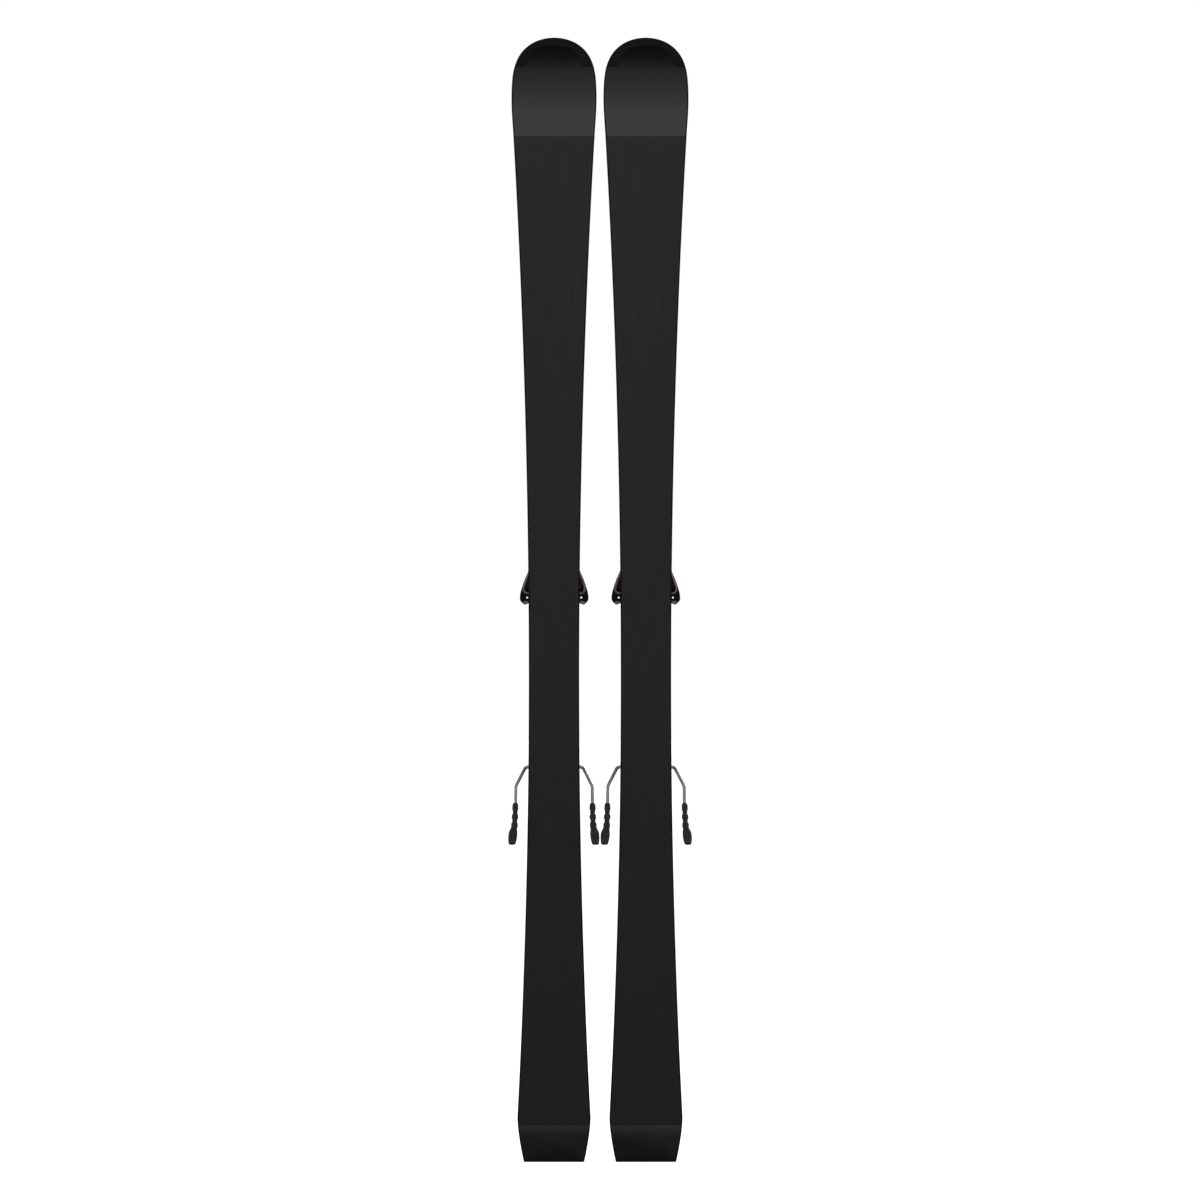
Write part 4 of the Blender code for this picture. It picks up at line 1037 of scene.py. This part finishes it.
def build_brake():
    """The brake's plate with its bearings, the pedal that the boot presses, and the arms."""
    plan = mirrored([(0, 664), (22, 664), (26, 660), (27, 628), (33.2, 618), (33.2, 549), (0, 549)])
    plate = Shape(prism(plan, TRACK_TOP + 0.3, PLATE_TOP - 2.0, "z")).round(0.6)
    px, py, pz = BRAKE_PIVOT
    for sign in (-1, 1):
        tower = [(py - 8, PLATE_TOP - 3), (py + 8, PLATE_TOP - 3), (py + 6, pz + 5), (py - 6, pz + 5)]
        plate.join(rounded(prism(tower, sign * 26.0, sign * 33.5), 0.9))
        lean = Vector((sign * math.cos(BRAKE_LEAN), 0, math.sin(BRAKE_LEAN)))
        at = Vector((sign * px, py, pz))
        plate.cut(cylinder(at - lean * 22, at + lean * 22, WIRE_RADIUS + 0.25, 28))
    plate.cut(box((-24.5, 566.0, 24), (24.5, 628.0, 40)), box((-30.0, 572.5, 24), (30.0, 616.0, 40)))
    hy, hz = PEDAL_HINGE
    for sign in (-1, 1):
        ear = [(hy - 7, PLATE_TOP - 3), (hy + 7, PLATE_TOP - 3), (hy + 5, hz + 4), (hy - 5, hz + 4)]
        plate.join(rounded(prism(ear, sign * 19.0, sign * 23.0), 0.8))
        plate.cut(cylinder((sign * 17, hy, hz), (sign * 25, hy, hz), 2.8, 24))
    plate.round(0.2, 2, 40.0)
    settle("brake_base", plate.take(), "carriage", "binding_black", ["brake_plate"])

    free_end = hy - PEDAL_LENGTH
    outline = [(hy + 3, hz - 1.5), (hy + 2.4, hz + 2.2), (hy - 6, hz + 4.2), (free_end + 6, hz + 4.2),
               (free_end, hz + 2.6), (free_end, hz + 1.1), (hy - 8, hz + 1.1)]
    step = Shape(prism(outline, -18.4, 18.4)).round(0.7)
    for i in range(7):
        at = hy - 14 - 6.5 * i
        step.join(cylinder((-14.5, at, hz + 3.9), (14.5, at, hz + 3.9), 1.1, 16))
    step.join(cylinder((-22.6, hy, hz), (22.6, hy, hz), 2.4, 28))
    settle("brake_step", step.take(), "brake_pedal", "binding_black", ["brake_pedal"],
           turn=about(-PEDAL_LIFT, *PEDAL_HINGE))
    for sign in (-1, 1):
        build_brake_arm(sign)


# ---------------------------------------------------------------- stage


def area_light(name, at, size, power):
    data = bpy.data.lights.new(name, "AREA")
    data.shape = "RECTANGLE"
    data.size, data.size_y = size
    data.energy = power
    light = bpy.data.objects.new(name, data)
    bpy.context.scene.collection.objects.link(light)
    light.location = at
    light.rotation_euler = (Vector(LIT_PLACE) - Vector(at)).to_track_quat("-Z", "Y").to_euler()
    light.visible_camera = False


def build_world():
    """A white surround to the eye. It lights the skis by height: bright to the side, dark overhead."""
    world = bpy.data.worlds.new("studio")
    bpy.context.scene.world = world
    world.use_nodes = True
    tree = world.node_tree
    lit, seen = tree.nodes["Background"], tree.nodes.new("ShaderNodeBackground")
    coordinates = tree.nodes.new("ShaderNodeTexCoord")
    split = tree.nodes.new("ShaderNodeSeparateXYZ")
    ramp = tree.nodes.new("ShaderNodeValToRGB")
    tree.links.new(coordinates.outputs["Generated"], split.inputs[0])
    tree.links.new(split.outputs["Z"], ramp.inputs["Fac"])
    tree.links.new(ramp.outputs["Color"], lit.inputs["Color"])
    stops = ramp.color_ramp.elements
    for elevation, _ in SKY[1:-1]:
        stops.new(math.sin(math.radians(elevation)))
    for stop, (_, level) in zip(stops, SKY):
        stop.color = (level, level, level, 1.0)
    lit.inputs["Strength"].default_value = SKY_STRENGTH
    seen.inputs["Color"].default_value = (1.0, 1.0, 1.0, 1.0)
    path, mix = tree.nodes.new("ShaderNodeLightPath"), tree.nodes.new("ShaderNodeMixShader")
    tree.links.new(path.outputs["Is Camera Ray"], mix.inputs["Fac"])
    tree.links.new(lit.outputs[0], mix.inputs[1])
    tree.links.new(seen.outputs[0], mix.inputs[2])
    tree.links.new(mix.outputs[0], tree.nodes["World Output"].inputs["Surface"])


def build_floor():
    """A plain floor, as white to the eye as the surround, which gives back only some of the light."""
    bpy.ops.mesh.primitive_plane_add(size=60.0, location=(0, 0, -0.0005))
    floor = bpy.context.object
    floor.name = "floor"
    paint = Nodes("floor_white", (0.27, 0.27, 0.27), 0.9)
    glow = paint.add("ShaderNodeEmission", Strength=FLOOR_GLOW)
    bright = paint.add("ShaderNodeAddShader")
    path, mix = paint.add("ShaderNodeLightPath"), paint.add("ShaderNodeMixShader")
    paint.link(paint.shader.outputs[0], bright.inputs[0])
    paint.link(glow.outputs[0], bright.inputs[1])
    paint.link(path.outputs["Is Camera Ray"], mix.inputs[0])
    paint.link(paint.shader.outputs[0], mix.inputs[1])
    paint.link(bright.outputs[0], mix.inputs[2])
    paint.link(mix.outputs[0], paint.tree.nodes["Material Output"].inputs["Surface"])
    floor.data.materials.append(paint.material)


def build_stage():
    bpy.context.scene.view_settings.view_transform = "Standard"
    build_world()
    build_floor()
    area_light("binding_key", (1.6, 3.2, 2.6), (1.6, 1.6), 130.0)
    area_light("binding_fill", (-2.6, 2.4, 1.2), (1.2, 2.0), 60.0)


def build_camera():
    data = bpy.data.cameras.new("camera")
    data.sensor_width = SENSOR
    data.lens = SENSOR * CAMERA_DISTANCE / FRAME_WIDTH
    data.clip_end = 200.0
    camera = bpy.data.objects.new("camera", data)
    bpy.context.scene.collection.objects.link(camera)
    camera.location = (0.0, -CAMERA_DISTANCE, VIEW_HEIGHT)
    camera.rotation_euler = (math.pi / 2, 0, 0)
    bpy.context.scene.camera = camera


# ---------------------------------------------------------------- the pair


for part in frame["record"]["subparts"]:
    node = frame["nodes"][part["node"]]
    node.data.materials.clear()
    node.data.materials.append(MATERIALS[part["material_slot"]])
build_ski()
build_toe()
build_carriage()
build_heel_housing()
build_lever()
build_latch()
build_brake()
build_stage()
build_camera()
